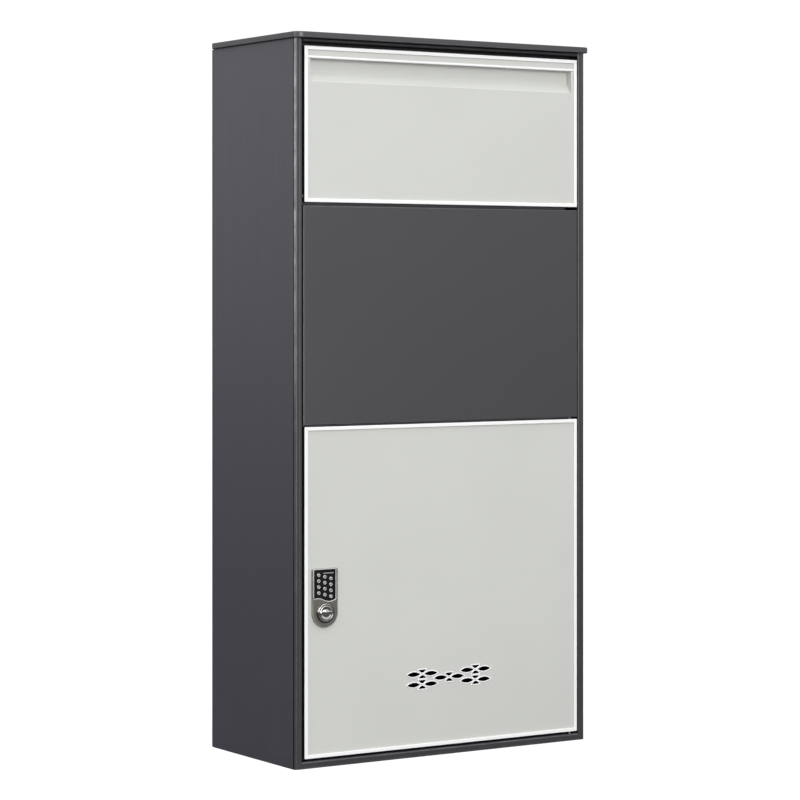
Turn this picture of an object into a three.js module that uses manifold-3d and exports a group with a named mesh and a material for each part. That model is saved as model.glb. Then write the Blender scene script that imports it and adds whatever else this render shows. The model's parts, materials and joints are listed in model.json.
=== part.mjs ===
// Parcel drop box: a folded steel cabinet with a tilting hopper flap at the top, a fixed panel in the
// middle and a lockable door at the bottom. Millimetres, +Z up, the front faces -Y, and the origin is
// at the bottom centre of the whole box.
import * as THREE from "three";
import { mergeVertices } from "three/addons/utils/BufferGeometryUtils.js";
import Module from "manifold-3d";

const wasm = await Module();
wasm.setup();

// ---- Driving dimensions ----

// Cabinet.
const WIDTH = 484;
const DEPTH = 233;
const HEIGHT = 1000;
const SHEET = 1.5; // cabinet sheet steel
const FIT = 0.3; // gap between two pieces that are fastened together
const BEND_RADIUS = 2; // outside radius of a fold
const PAST = 1; // how far a cutting tool, or a piece joined to another, runs past the face
const RETURN_FLANGE = 18; // folds at the back edge of the side panels and the base

// Cap.
const CAP_THICKNESS = 8;
const CAP_FRONT_OVERHANG = 10;
const CAP_SIDE_OVERHANG = 5;
const CAP_EDGE_ROUNDING = 2.5;
const CAP_CORNER = 10; // radius of its corners, seen from above
const CAP_RIM = 14; // width of the solid rim around the hollow underside
const CAP_SKIN = 2;

// Front frame.
const JAMB_FACE = 11;
const FRAME_WRAP = 6; // how far the jambs wrap round onto the sides
const FRAME_DEPTH = 24;
const SEAM = 0.6; // open seam between a jamb and its side panel
const SILL_HEIGHT = 10;
const SILL_FOOT = 16; // fold under the sill
const HEAD_FACE = 4.8;
const STOP_LIP = 10; // lips that the door and the flap close against
const RAIL_HEIGHT = 30;
const RAIL_FLANGE = 12;

// Door, middle panel and flap: heights, and the gaps around them.
const DOOR_HEIGHT = 450;
const FLAP_HEIGHT = 212;
const DOOR_GAP = 3.8;
const PANEL_GAP = 2.6;
const FLAP_GAP = 4.3;
const FLAP_TOP_GAP = 5.6;
const LEAF_SIDE_GAP = 2.5; // beside the door and the flap
const PANEL_SIDE_GAP = 1;
const SKIN = 1.2; // sheet of the door, the flap and the middle panel
const LEAF_DEPTH = 16; // thickness of the door and of the flap
const PANEL_DEPTH = 20;
const TRIM_WIDTH = 5;
const TRIM_PROUD = 1.5;

// Pivots.
const DOOR_PIN_DIAMETER = 4;
const DOOR_PIN_FROM_EDGE = 9;
const DOOR_PIN_INSET = 4.5; // behind the face of the door
const FLAP_PIN_DIAMETER = 5;
const FLAP_PIN_RISE = 8; // above the lower edge of the flap
const FLAP_PIN_INSET = 5;
const PIN_PLAY = 0.3; // radial play of a pin in what turns on it
const PIN_HEAD = 1.5; // thickness of the head; its radius fills the room behind the face sheet
const PIN_REACH = 6; // how far a door pin goes into the door
const FLAP_PIN_REACH = 3.2; // how far a flap pin goes into the flap
const BRACKET = 3; // plate of the pivot brackets
const DOOR_BRACKET_WIDTH = 24;
const FLAP_BRACKET_HEIGHT = 32;
const BUMPER_RADIUS = 3;
const BUMPER_FROM_EDGE = 40;
const SMALL_ROUND = 16; // sides of a small round piece
const FINE_ROUND = 32; // sides of a large one

// Finger pull in the flap.
const LIP_HEIGHT = 16.5;
const LIP_BEAD_HEIGHT = 3.4;
const LIP_BEAD_PROUD = 1.2;
const PULL_DEPTH = 11.5;
const PULL_WALL_HEIGHT = 18;
const PULL_HEIGHT = 31;
const PULL_END_MARGIN = 9.5;
const PULL_LAP = 6; // turn-down of the trough behind the face, below the slot

// Hopper behind the flap.
const FLOOR_SLOPE = 50; // degrees below level when the flap is shut; also how far the flap opens
const FLOOR_RISE = 4; // start of the floor above the lower edge of the flap
const FLOOR_FLANGE = 26;
const CHEEK_INSET = 4.8; // cheeks inside the sides of the flap
const STOP_EAR_CATCH = 7; // the ear on each cheek overlaps the roof flange this much when the flap is open
const STOP_EAR_ANGLE = 8;
const STOP_EAR_GAP = 0.6;
const ARC_STEP = 8; // degrees between the points of a cheek's rim
const BAFFLE_DEPTH = 36; // room kept for the baffle between the hopper and the back
const BAFFLE_RISE = 14; // nose of the baffle above the flap pivot
const BAFFLE_SLOPE_HEIGHT = 20;
const BAFFLE_FLANGE = 40;
const SWEEP_GAP = 6; // between the sweep of the hopper and the baffle

// Lock: its outline is straight at the top and a half circle at the bottom, centred on the knob.
const LOCK_WIDTH = 40;
const LOCK_TOP = 60.4; // above the knob
const LOCK_FROM_EDGE = 11.3; // from the free edge of the door
const LOCK_CENTRE_HEIGHT = 197; // knob above the lower edge of the door
const LOCK_PLATE = 3.4;
const KNOB_RADIUS = 10;
const KNOB_DISC = 2.8;
const KNOB_GRIP = { length: 18, width: 5.4, height: 1.8 }; // level when the cam hangs down
const RING_RADIUS = 14;
const RING_HEIGHT = 2.2;
const SPINDLE_RADIUS = 4;
const LOCK_BORE_RADIUS = 6; // hole through the door for the spindle
const WINDOW = { width: 34.8, rim: 1.3, left: 20.8, right: 19, wave: 4.5, thickness: 1.2, pocket: 2.9 };
const KEY = { radius: 2.4, flange: 3.2, proud: 0.9, flangeThickness: 0.6 };
const KEY_COLUMNS = 3;
const KEY_ROWS = 4;
const KEY_PITCH_X = 9.65;
const KEY_PITCH_Z = 8.13;
const KEY_COLUMN_DROP = 2.7; // each column starts lower than the one on its left
const KEY_FIRST_DROP = 8.7; // first key below the top of the lock plate
const KEY_SHIFT = -1; // middle column from the middle of the plate
const HOUSING = { width: 34, below: 14, top: 58, depth: 9.9 };
const BATTERY_COVER = { width: 28, bottom: 16, top: 48, thickness: 1.5 };
const LOCK_SCREW = { radius: 2.5, height: 1.6 };
const LOCK_SCREW_LOW = [11, -9]; // from the knob, to the right and up
const LOCK_SCREW_HIGH = [0, 53];
const CAM_WIDTH = 14;
const CAM_THICKNESS = 2.5;
const CAM_TIP_GAP = 2; // from the side panel when locked
const CAM_SCREW = { radius: 2, head: 5.5, headHeight: 2, reach: 6, hole: 8 };
const HEXAGON = 6;
const STRIKE_HEIGHT = 44;
const STRIKE_THICKNESS = 1.9;
const STRIKE_REACH = 5; // into the door opening

// Vents in the door: flowers of two leaves and two half leaves, in pairs with a single one in the middle.
const VENT_CENTRE = [7.6, 95.4]; // from the middle and the lower edge of the door
const VENT_PITCH = 44.8;
const VENT_PAIR_RISE = 7.5;
const VENT_LEAF = { length: 20.5, width: 5.8, offset: 14.2 };
const VENT_BUD = { length: 10.8, width: 3.4, offset: 6 };
const VENT_WINDOW = [168, 36]; // opening in the liner behind the vents

// Holes in the back for wall bolts.
const ANCHOR_RADIUS = 5;
const ANCHOR_FROM_SIDE = 90;
const ANCHOR_FROM_END = 110;

// ---- Places that follow from them ----

const FRONT = (CAP_FRONT_OVERHANG - DEPTH) / 2; // plane of the frame, door and panel faces
const BACK = FRONT + DEPTH;
const SIDE = WIDTH / 2;
const TOP = HEIGHT - CAP_THICKNESS;
const OPENING = SIDE - JAMB_FACE; // half width between the jambs
const INSIDE = SIDE - SHEET - FIT; // half width between the side panels
const BACK_INNER = BACK - SHEET - FIT;
const LEAF = OPENING - LEAF_SIDE_GAP;
const PANEL = OPENING - PANEL_SIDE_GAP;
const DOOR_Z = [SILL_HEIGHT + DOOR_GAP, SILL_HEIGHT + DOOR_GAP + DOOR_HEIGHT];
const FRAME_TOP = TOP - FIT;
const HEAD_BOTTOM = FRAME_TOP - HEAD_FACE;
const FLAP_Z = [HEAD_BOTTOM - FLAP_TOP_GAP - FLAP_HEIGHT, HEAD_BOTTOM - FLAP_TOP_GAP];
const PANEL_Z = [DOOR_Z[1] + PANEL_GAP, FLAP_Z[0] - FLAP_GAP];
const STOP = FRONT + PANEL_DEPTH + FIT; // face of the stop lips
const LEAF_BACK = FRONT + LEAF_DEPTH;
const LINER_FRONT = LEAF_BACK - SKIN;
const DOOR_PIN = { x: LEAF - DOOR_PIN_FROM_EDGE, y: FRONT + DOOR_PIN_INSET };
const FLAP_PIN = { y: FRONT + FLAP_PIN_INSET, z: FLAP_Z[0] + FLAP_PIN_RISE };
const CHEEK_OUTER = LEAF - CHEEK_INSET;
const HEM = HEAD_BOTTOM - STOP_LIP; // lower edge of the head rail's lip and of the roof flange
const SWEEP_RADIUS = Math.min(BACK - BAFFLE_DEPTH - FLAP_PIN.y, HEM - FLAP_PIN.z) - SWEEP_GAP;
const KNOB = { x: -LEAF + LOCK_FROM_EDGE + LOCK_WIDTH / 2, z: DOOR_Z[0] + LOCK_CENTRE_HEIGHT };
const LOCK_FACE = FRONT - FIT - LOCK_PLATE;
const HOUSING_FRONT = LEAF_BACK + FIT;
const HOUSING_BACK = HOUSING_FRONT + HOUSING.depth;
const CAM_FRONT = HOUSING_BACK + FIT;

// ---- Finishes ----

const finish = (color, roughness, metalness) =>
  new THREE.MeshStandardMaterial({ color, roughness, metalness });
const GRAPHITE = finish(0x53545a, 0.5, 0.35);
const LIGHT_GREY = finish(0xd0d1cb, 0.45, 0.1);
const WHITE = finish(0xf2f2f0, 0.35, 0.1);
const INNER_GREY = finish(0x8a8b8e, 0.6, 0.3);
const STEEL = finish(0x9c9c98, 0.35, 0.9);
const CHROME = finish(0xc9c9c4, 0.15, 1);
const NICKEL = finish(0x7c7a72, 0.35, 0.9);
const BLACK = finish(0x101114, 0.25, 0.05);
const RUBBER = finish(0x202020, 0.85, 0);

// ---- Solids ----

// A closed geometry as a manifold-3d solid.
function solidOf(geometry) {
  const bare = (geometry.index ? geometry.toNonIndexed() : geometry).clone();
  bare.deleteAttribute("normal");
  bare.deleteAttribute("uv");
  const merged = mergeVertices(bare, 1e-4);
  return new wasm.Manifold(
    new wasm.Mesh({
      numProp: 3,
      vertProperties: merged.attributes.position.array,
      triVerts: new Uint32Array(merged.index.array),
    }),
  );
}

// A manifold-3d solid as a geometry with flat faces.
function geometryOf(solid) {
  const mesh = solid.getMesh();
  const geometry = new THREE.BufferGeometry();
  geometry.setAttribute("position", new THREE.BufferAttribute(mesh.vertProperties, 3));
  geometry.setIndex(new THREE.BufferAttribute(mesh.triVerts, 1));
  const flat = geometry.toNonIndexed();
  flat.computeVertexNormals();
  return flat;
}

const cut = (body, ...tools) =>
  geometryOf(tools.reduce((solid, tool) => solid.subtract(solidOf(tool)), solidOf(body)));

const join = (body, ...others) =>
  geometryOf(others.reduce((solid, other) => solid.add(solidOf(other)), solidOf(body)));

// A block between two values on each axis.
function block(x, y, z) {
  const size = ([from, to]) => to - from;
  const middle = ([from, to]) => (from + to) / 2;
  return new THREE.BoxGeometry(size(x), size(y), size(z)).translate(middle(x), middle(y), middle(z));
}

const X = new THREE.Vector3(1, 0, 0);
const Y = new THREE.Vector3(0, 1, 0);
const Z = new THREE.Vector3(0, 0, 1);

const extrude = (shape, length, curveSegments) =>
  new THREE.ExtrudeGeometry(shape, { depth: length, bevelEnabled: false, curveSegments });

// A shape drawn in (y, z) and extruded along X between two values.
function alongX(shape, [from, to], curveSegments = 6) {
  return extrude(shape, to - from, curveSegments)
    .translate(0, 0, from)
    .applyMatrix4(new THREE.Matrix4().makeBasis(Y, Z, X));
}

// A shape drawn in (x, z) and extruded along Y between two values.
function alongY(shape, [from, to], curveSegments = 6) {
  return extrude(shape, to - from, curveSegments)
    .translate(0, 0, -to)
    .applyMatrix4(new THREE.Matrix4().makeBasis(X, Z, Y.clone().negate()));
}

// A shape drawn in (x, y) and extruded along Z between two values.
const alongZ = (shape, [from, to], curveSegments = 6) =>
  extrude(shape, to - from, curveSegments).translate(0, 0, from);

const polygon = (points) => new THREE.Shape(points.map(([u, v]) => new THREE.Vector2(u, v)));

// A round bar along one axis, between two values, through a point of the other two.
function rod(axis, radius, [from, to], centre, segments = 20) {
  const bar = new THREE.CylinderGeometry(radius, radius, to - from, segments);
  const middle = (from + to) / 2;
  if (axis === "x") return bar.rotateZ(Math.PI / 2).translate(middle, centre[0], centre[1]);
  if (axis === "y") return bar.translate(centre[0], middle, centre[1]);
  return bar.rotateX(Math.PI / 2).translate(centre[0], centre[1], middle);
}

// A path with each inner corner replaced by an arc that starts and ends one radius from it.
function bent(path, radius, steps = 3) {
  const points = path.map(([u, v]) => new THREE.Vector2(u, v));
  const curved = points.slice(1, -1).flatMap((corner, i) => {
    const before = points[i];
    const after = points[i + 2];
    const start = corner.clone().add(before.clone().sub(corner).setLength(radius));
    const end = corner.clone().add(after.clone().sub(corner).setLength(radius));
    return new THREE.QuadraticBezierCurve(start, corner, end).getPoints(steps);
  });
  return [points[0], ...curved, points[points.length - 1]];
}

// The outline of a folded sheet whose outer line is the path: the sheet lies on the path's left.
function folded(path, thickness, radius = BEND_RADIUS) {
  const points = bent(path, radius);
  const leftOf = (a, b) => new THREE.Vector2(a.y - b.y, b.x - a.x).normalize();
  const inner = points.map((point, i) => {
    const before = leftOf(points[Math.max(i - 1, 0)], points[Math.max(i, 1)]);
    const after = leftOf(points[Math.min(i, points.length - 2)], points[Math.min(i + 1, points.length - 1)]);
    const mitre = before.clone().add(after).normalize();
    return point.clone().addScaledVector(mitre, thickness / mitre.dot(before));
  });
  return new THREE.Shape([...points, ...inner.reverse()]);
}

// An open-backed tray: a face sheet with returns on its four edges.
function tray(halfWidth, z, depth) {
  const inner = halfWidth - SKIN;
  return cut(
    block([-halfWidth, halfWidth], [FRONT, FRONT + depth], z),
    block([-inner, inner], [FRONT + SKIN, FRONT + depth + PAST], [z[0] + SKIN, z[1] - SKIN]),
  );
}

// A flat rectangular frame on the face of a tray.
function trimRing(halfWidth, z) {
  const ring = (inset) => [-halfWidth + inset, halfWidth - inset];
  return cut(
    block(ring(0), [FRONT - FIT - TRIM_PROUD, FRONT - FIT], z),
    block(ring(TRIM_WIDTH), [FRONT - FIT - TRIM_PROUD - PAST, FRONT], [z[0] + TRIM_WIDTH, z[1] - TRIM_WIDTH]),
  );
}

// A headed pivot pin, a given distance behind the front: the head is at the first value, and the
// shank runs to the second.
function headedPin(axis, radius, inset, [from, to], centre) {
  const along = Math.sign(to - from);
  const headEnd = from + along * PIN_HEAD;
  const range = (a, b) => [Math.min(a, b), Math.max(a, b)];
  return join(
    rod(axis, inset - SHEET - FIT, range(from, headEnd), centre),
    rod(axis, radius, range(from, to), centre),
  );
}

// Tools that make the holes for the pivot pins, with their play.
const doorPinHole = (z) => rod("z", DOOR_PIN_DIAMETER / 2 + PIN_PLAY, z, [DOOR_PIN.x, DOOR_PIN.y]);
const flapPinHole = (x) => rod("x", FLAP_PIN_DIAMETER / 2 + PIN_PLAY, x, [FLAP_PIN.y, FLAP_PIN.z]);

const box = new THREE.Group();

function add(name, geometry, material) {
  const mesh = new THREE.Mesh(geometry, material);
  mesh.name = name;
  box.add(mesh);
  return mesh;
}

// The same piece on the left and, mirrored, on the right.
function addPair(name, geometry, material) {
  add(name("left"), geometry, material);
  add(name("right"), geometry, material).scale.x = -1;
}

// ---- Cabinet shell ----

function addShell() {
  const flangeEnd = -SIDE + RETURN_FLANGE;
  const backEdge = BACK - SHEET - FIT;
  const sideProfile = [[flangeEnd, backEdge], [-SIDE, backEdge], [-SIDE, FRONT + FRAME_WRAP + SEAM]];
  addPair((hand) => `${hand}_side_panel`, alongZ(folded(sideProfile, SHEET), [0, FRAME_TOP]), GRAPHITE);

  const anchors = [-1, 1].flatMap((side) =>
    [ANCHOR_FROM_END, FRAME_TOP - ANCHOR_FROM_END].map((z) =>
      rod("y", ANCHOR_RADIUS, [BACK - SHEET - PAST, BACK + PAST], [side * (SIDE - ANCHOR_FROM_SIDE), z])));
  const back = block([-SIDE, SIDE], [BACK - SHEET, BACK], [0, FRAME_TOP]);
  add("back_panel", cut(back, ...anchors), GRAPHITE);

  const rear = backEdge - SHEET - FIT;
  const front = FRONT + SILL_FOOT + FIT;
  const underSill = SILL_HEIGHT - SHEET - FIT;
  const pan = [[front, underSill], [front, 0], [rear, 0], [rear, RETURN_FLANGE]];
  add("base_pan", alongX(folded(pan, SHEET), [-INSIDE, INSIDE]), INNER_GREY);

  const roofFront = STOP + SHEET + FIT;
  const roof = [[rear, HEM], [rear, FRAME_TOP], [roofFront, FRAME_TOP], [roofFront, HEM]];
  add("roof_panel", alongX(folded(roof, SHEET), [-OPENING + FIT, OPENING - FIT]), INNER_GREY);
}

function addCap() {
  const rounding = CAP_EDGE_ROUNDING;
  const half = SIDE + CAP_SIDE_OVERHANG - rounding;
  const front = FRONT - CAP_FRONT_OVERHANG + rounding;
  const back = BACK - rounding;
  const corner = CAP_CORNER - rounding;
  const outline = new THREE.Shape()
    .moveTo(half, front + corner)
    .absarc(half - corner, back - corner, corner, 0, Math.PI / 2, false)
    .absarc(corner - half, back - corner, corner, Math.PI / 2, Math.PI, false)
    .absarc(corner - half, front + corner, corner, Math.PI, 1.5 * Math.PI, false)
    .absarc(half - corner, front + corner, corner, 1.5 * Math.PI, 2 * Math.PI, false);
  const slab = new THREE.ExtrudeGeometry(outline, {
    depth: CAP_THICKNESS - 2 * rounding,
    bevelSize: rounding,
    bevelThickness: rounding,
    bevelSegments: 4,
    curveSegments: 6,
  }).translate(0, 0, TOP + rounding);
  const hollowHalf = SIDE + CAP_SIDE_OVERHANG - CAP_RIM;
  const hollow = block(
    [-hollowHalf, hollowHalf],
    [FRONT - CAP_FRONT_OVERHANG + CAP_RIM, BACK - CAP_RIM],
    [TOP - PAST, HEIGHT - CAP_SKIN],
  );
  add("top_cap", cut(slab, hollow), GRAPHITE);
}

// ---- Front frame ----

// Prisms through the whole depth that part a jamb from the sill along the mitre.
function mitreTools() {
  const slope = SILL_HEIGHT / JAMB_FACE;
  const onMitre = (x, gap) => [x, (x + SIDE) * slope + gap / 2];
  const outer = -SIDE - PAST;
  const sillEnd = -OPENING + FIT; // the sill ends here behind the jamb, and above the mitre
  const beyond = -OPENING + PAST;
  const far = SILL_HEIGHT + STOP_LIP + PAST;
  const above = [onMitre(outer, -FIT), onMitre(sillEnd, -FIT), [sillEnd, far], [outer, far]];
  const below = [onMitre(outer, FIT), onMitre(beyond, FIT), [beyond, -PAST], [outer, -PAST]];
  const through = [FRONT - PAST, FRONT + FRAME_DEPTH + PAST];
  return {
    aboveMitre: alongY(polygon(above), through),
    belowMitre: alongY(polygon(below), through),
    behindWrap: block([outer, sillEnd], [FRONT + FRAME_WRAP, through[1]], [-PAST, far]),
  };
}

function addFrontFrame() {
  const { aboveMitre, belowMitre, behindWrap } = mitreTools();
  const jambProfile = [
    [-SIDE, FRONT + FRAME_WRAP],
    [-SIDE, FRONT],
    [-OPENING, FRONT],
    [-OPENING, FRONT + FRAME_DEPTH],
    [-INSIDE, FRONT + FRAME_DEPTH],
  ];
  const pinHole = flapPinHole([-OPENING - SHEET - PAST, -OPENING + PAST]);
  const jamb = cut(alongZ(folded(jambProfile, SHEET), [0, FRAME_TOP]), belowMitre, pinHole);
  addPair((hand) => `${hand}_jamb`, jamb, GRAPHITE);

  const sillProfile = [
    [STOP, SILL_HEIGHT + STOP_LIP],
    [STOP, SILL_HEIGHT],
    [FRONT, SILL_HEIGHT],
    [FRONT, 0],
    [FRONT + SILL_FOOT, 0],
  ];
  const sillPin = doorPinHole([SHEET + PAST, SILL_HEIGHT + PAST]);
  const ends = [aboveMitre, behindWrap].flatMap((tool) => [tool, mirroredInX(tool)]);
  add("sill_rail", cut(alongX(folded(sillProfile, SHEET), [-SIDE, SIDE]), sillPin, ...ends), GRAPHITE);

  const headProfile = [
    [FRONT + PANEL_DEPTH, FRAME_TOP],
    [FRONT, FRAME_TOP],
    [FRONT, HEAD_BOTTOM],
    [STOP, HEAD_BOTTOM],
    [STOP, HEM],
  ];
  const between = [-OPENING + FIT, OPENING - FIT];
  add("head_rail", alongX(folded(headProfile, SHEET), between), GRAPHITE);
}

// A geometry mirrored from left to right, with its faces still pointing out.
function mirroredInX(geometry) {
  const mirrored = (geometry.index ? geometry.toNonIndexed() : geometry.clone()).scale(-1, 1, 1);
  const { array } = mirrored.attributes.position;
  for (let i = 0; i < array.length; i += 9) {
    const second = array.slice(i + 3, i + 6);
    array.copyWithin(i + 3, i + 6, i + 9);
    array.set(second, i + 6);
  }
  return mirrored;
}

// A channel across the box, open towards the back.
function channel(front, depth, z) {
  const profile = [[front + depth, z[1]], [front, z[1]], [front, z[0]], [front + depth, z[0]]];
  return folded(profile, SHEET);
}

function addMiddle() {
  const pinHole = doorPinHole([PANEL_Z[0] - PAST, PANEL_Z[0] + SKIN + PAST]);
  add("middle_panel", cut(tray(PANEL, PANEL_Z, PANEL_DEPTH), pinHole), GRAPHITE);

  const upperTop = PANEL_Z[1] - SKIN - FIT;
  const upper = channel(FRONT + SKIN + FIT, PANEL_DEPTH - SKIN - 2 * FIT, [upperTop - RAIL_HEIGHT, upperTop]);
  const nested = PANEL - SKIN - FIT;
  add("upper_cross_rail", alongX(upper, [-nested, nested]), INNER_GREY);

  const lowerBottom = DOOR_Z[1] - STOP_LIP;
  const lower = channel(STOP, RAIL_FLANGE, [lowerBottom, lowerBottom + RAIL_HEIGHT]);
  add("lower_cross_rail", alongX(lower, [-OPENING + FIT, OPENING - FIT]), INNER_GREY);
}

// ---- Pivots and stops on the cabinet ----

function addDoorPivots() {
  const centre = [DOOR_PIN.x, DOOR_PIN.y];
  const radius = DOOR_PIN_DIAMETER / 2;
  const x = [DOOR_PIN.x - DOOR_BRACKET_WIDTH / 2, PANEL - SKIN - FIT];
  const plate = (y, z) => cut(block(x, y, z), rod("z", radius + FIT, [z[0] - PAST, z[1] + PAST], centre));
  const pin = (ends) => headedPin("z", radius, DOOR_PIN_INSET, ends, centre);

  const lowTop = SILL_HEIGHT - SHEET - FIT;
  const lowZ = [lowTop - BRACKET, lowTop];
  add("door_hinge_bracket_lower", plate([FRONT + SHEET + FIT, FRONT + SILL_FOOT - FIT], lowZ), STEEL);
  const lowHead = lowZ[0] - FIT - PIN_HEAD;
  add("door_hinge_pin_lower", pin([lowHead, DOOR_Z[0] + PIN_REACH]), STEEL);

  const highBottom = PANEL_Z[0] + SKIN + FIT;
  const highZ = [highBottom, highBottom + BRACKET];
  add("door_hinge_bracket_upper", plate([FRONT + SKIN + FIT, FRONT + PANEL_DEPTH - FIT], highZ), STEEL);
  const highHead = highZ[1] + FIT + PIN_HEAD;
  add("door_hinge_pin_upper", pin([highHead, DOOR_Z[1] - PIN_REACH]), STEEL);
}

function addFlapPivots() {
  const centre = [FLAP_PIN.y, FLAP_PIN.z];
  const radius = FLAP_PIN_DIAMETER / 2;
  const inner = -OPENING - SHEET - FIT;
  const z = [FLAP_PIN.z - FLAP_BRACKET_HEIGHT / 2, FLAP_PIN.z + FLAP_BRACKET_HEIGHT / 2];
  const plate = block([inner - BRACKET, inner], [FRONT + SHEET + FIT, FRONT + FRAME_DEPTH - SHEET - FIT], z);
  const bracket = cut(plate, rod("x", radius + FIT, [inner - BRACKET - PAST, inner + PAST], centre));
  addPair((hand) => `flap_pivot_bracket_${hand}`, bracket, STEEL);
  const head = inner - BRACKET - FIT - PIN_HEAD;
  const pin = headedPin("x", radius, FLAP_PIN_INSET, [head, -LEAF + FLAP_PIN_REACH], centre);
  addPair((hand) => `flap_pivot_pin_${hand}`, pin, STEEL);
}

function addStops() {
  const y = [LEAF_BACK + FIT, STOP - FIT];
  const bumper = (x, z) => rod("y", BUMPER_RADIUS, y, [x, z], SMALL_ROUND);
  const x = -LEAF + BUMPER_FROM_EDGE;
  const lap = BUMPER_RADIUS + FIT + SHEET;
  add("door_bumper_upper", bumper(x, DOOR_Z[1] - lap), RUBBER);
  add("door_bumper_lower", bumper(x, DOOR_Z[0] + lap), RUBBER);
  addPair((hand) => `flap_bumper_${hand}`, bumper(x, FLAP_Z[1] - lap + FIT), RUBBER);

  const strikeFront = FRONT + FRAME_DEPTH + FIT;
  const strikeZ = [KNOB.z - STRIKE_HEIGHT / 2, KNOB.z + STRIKE_HEIGHT / 2];
  const strikeX = [-INSIDE, -OPENING + STRIKE_REACH];
  add("strike_plate", block(strikeX, [strikeFront, strikeFront + STRIKE_THICKNESS], strikeZ), STEEL);
}

function addBaffle() {
  const nose = FLAP_PIN.z + BAFFLE_RISE;
  const knee = nose + BAFFLE_SLOPE_HEIGHT;
  const wall = BACK_INNER - SHEET - FIT;
  const noseFront = FLAP_PIN.y + SWEEP_RADIUS + SWEEP_GAP;
  const path = [[noseFront, nose], [wall, knee], [wall, knee + BAFFLE_FLANGE]];
  add("anti_theft_baffle", alongX(folded(path, SHEET), [-INSIDE, INSIDE]), INNER_GREY);
}

// ---- Flap with its hopper ----

function addFlap() {
  const pullTop = FLAP_Z[1] - LIP_HEIGHT;
  const pullHalf = LEAF - PULL_END_MARGIN;
  const slot = [pullTop - PULL_HEIGHT, pullTop];
  const window = block([-pullHalf, pullHalf], [FRONT - PAST, FRONT + SKIN + PAST], slot);
  const pins = [-LEAF, LEAF].map((side) => flapPinHole([side - 2 * SKIN, side + 2 * SKIN]));
  const beadRadius = LIP_BEAD_HEIGHT / 2;
  const bead = new THREE.Shape()
    .moveTo(FRONT + SKIN, pullTop)
    .lineTo(FRONT + SKIN, pullTop + LIP_BEAD_HEIGHT)
    .lineTo(FRONT, pullTop + LIP_BEAD_HEIGHT)
    .quadraticCurveTo(FRONT - 2 * LIP_BEAD_PROUD, pullTop + beadRadius, FRONT, pullTop);
  const shell = cut(tray(LEAF, FLAP_Z, LEAF_DEPTH), window, ...pins);
  const beadHalf = LEAF - TRIM_WIDTH - FIT;
  add("flap_skin", join(shell, alongX(bead, [-beadHalf, beadHalf])), LIGHT_GREY);
  add("flap_edge_trim", trimRing(LEAF, FLAP_Z), WHITE);
  add("flap_pull_channel", pullChannel(pullHalf, pullTop), LIGHT_GREY);

  const liner = LEAF - SKIN - FIT;
  const linerZ = [FLAP_Z[0] + SKIN + FIT, FLAP_Z[1] - SKIN - FIT];
  add("flap_liner", block([-liner, liner], [LINER_FRONT, LEAF_BACK], linerZ), INNER_GREY);
}

// The trough behind the flap's finger slot: a folded strip that flares out downwards, with two ends.
function pullChannel(half, top) {
  const back = FRONT + PULL_DEPTH;
  const lapFront = FRONT + SKIN + FIT;
  const wallBottom = top - PULL_WALL_HEIGHT;
  const bottom = top - PULL_HEIGHT;
  const trough = [[lapFront, top], [back, top], [back, wallBottom], [lapFront, bottom]];
  const reach = half + SKIN + FIT;
  const strip = alongX(folded([...trough, [lapFront, bottom - PULL_LAP]], SKIN), [-reach, reach]);
  const middle = SKIN / 2; // the ends run to the middle of the strip's thickness
  const outline = [
    [lapFront + middle, bottom],
    [lapFront + middle, top + middle],
    [back + middle, top + middle],
    [back + middle, wallBottom],
  ];
  const end = (x) => alongX(polygon(outline), [x, x + SKIN]);
  return join(strip, end(-half - SKIN), end(half));
}

function addHopper() {
  const slope = THREE.MathUtils.degToRad(FLOOR_SLOPE);
  const start = new THREE.Vector2(LEAF_BACK + FIT, FLAP_Z[0] + FLOOR_RISE);
  const pivot = new THREE.Vector2(FLAP_PIN.y, FLAP_PIN.z);
  const down = new THREE.Vector2(Math.cos(slope), -Math.sin(slope));
  const offset = start.clone().sub(pivot);
  const along = offset.dot(down);
  const length = Math.sqrt(along ** 2 + SWEEP_RADIUS ** 2 - offset.lengthSq()) - along;
  const tip = start.clone().addScaledVector(down, length);

  const cheekInner = CHEEK_OUTER - SHEET;
  const floorPath = [[start.x, start.y + FLOOR_FLANGE], [start.x, start.y], [tip.x, tip.y]];
  const floorShape = folded(floorPath, SHEET);
  const floorHalf = cheekInner - FIT;
  add("hopper_floor", alongX(floorShape, [-floorHalf, floorHalf]), INNER_GREY);
  const cheek = alongX(cheekShape(start, tip, pivot), [-CHEEK_OUTER, -cheekInner]);
  addPair((hand) => `hopper_cheek_${hand}`, cheek, INNER_GREY);
}

// A cheek: a sector about the flap pivot, from the floor up to the flap, with the stop ear on its rim.
function cheekShape(start, tip, pivot) {
  const tipAngle = Math.atan2(tip.y - pivot.y, tip.x - pivot.x);
  const earRadius = HEM + STOP_EAR_CATCH - pivot.y;
  const openStop = STOP + 2 * (SHEET + FIT) + STOP_EAR_GAP - pivot.x;
  const earEnd = Math.acos(openStop / earRadius) - THREE.MathUtils.degToRad(FLOOR_SLOPE);
  const earStart = earEnd - THREE.MathUtils.degToRad(STOP_EAR_ANGLE);
  const topAngle = Math.acos((start.x - pivot.x) / SWEEP_RADIUS);
  const at = (radius, angle) => [pivot.x + radius * Math.cos(angle), pivot.y + radius * Math.sin(angle)];
  const arc = (radius, from, to) => {
    const steps = Math.ceil((to - from) / THREE.MathUtils.degToRad(ARC_STEP));
    return Array.from({ length: steps + 1 }, (_, i) => at(radius, from + ((to - from) * i) / steps));
  };
  return polygon([
    [start.x, start.y],
    ...arc(SWEEP_RADIUS, tipAngle, earStart),
    ...arc(earRadius, earStart, earEnd),
    ...arc(SWEEP_RADIUS, earEnd, topAngle),
  ]);
}

// ---- Door ----

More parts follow.
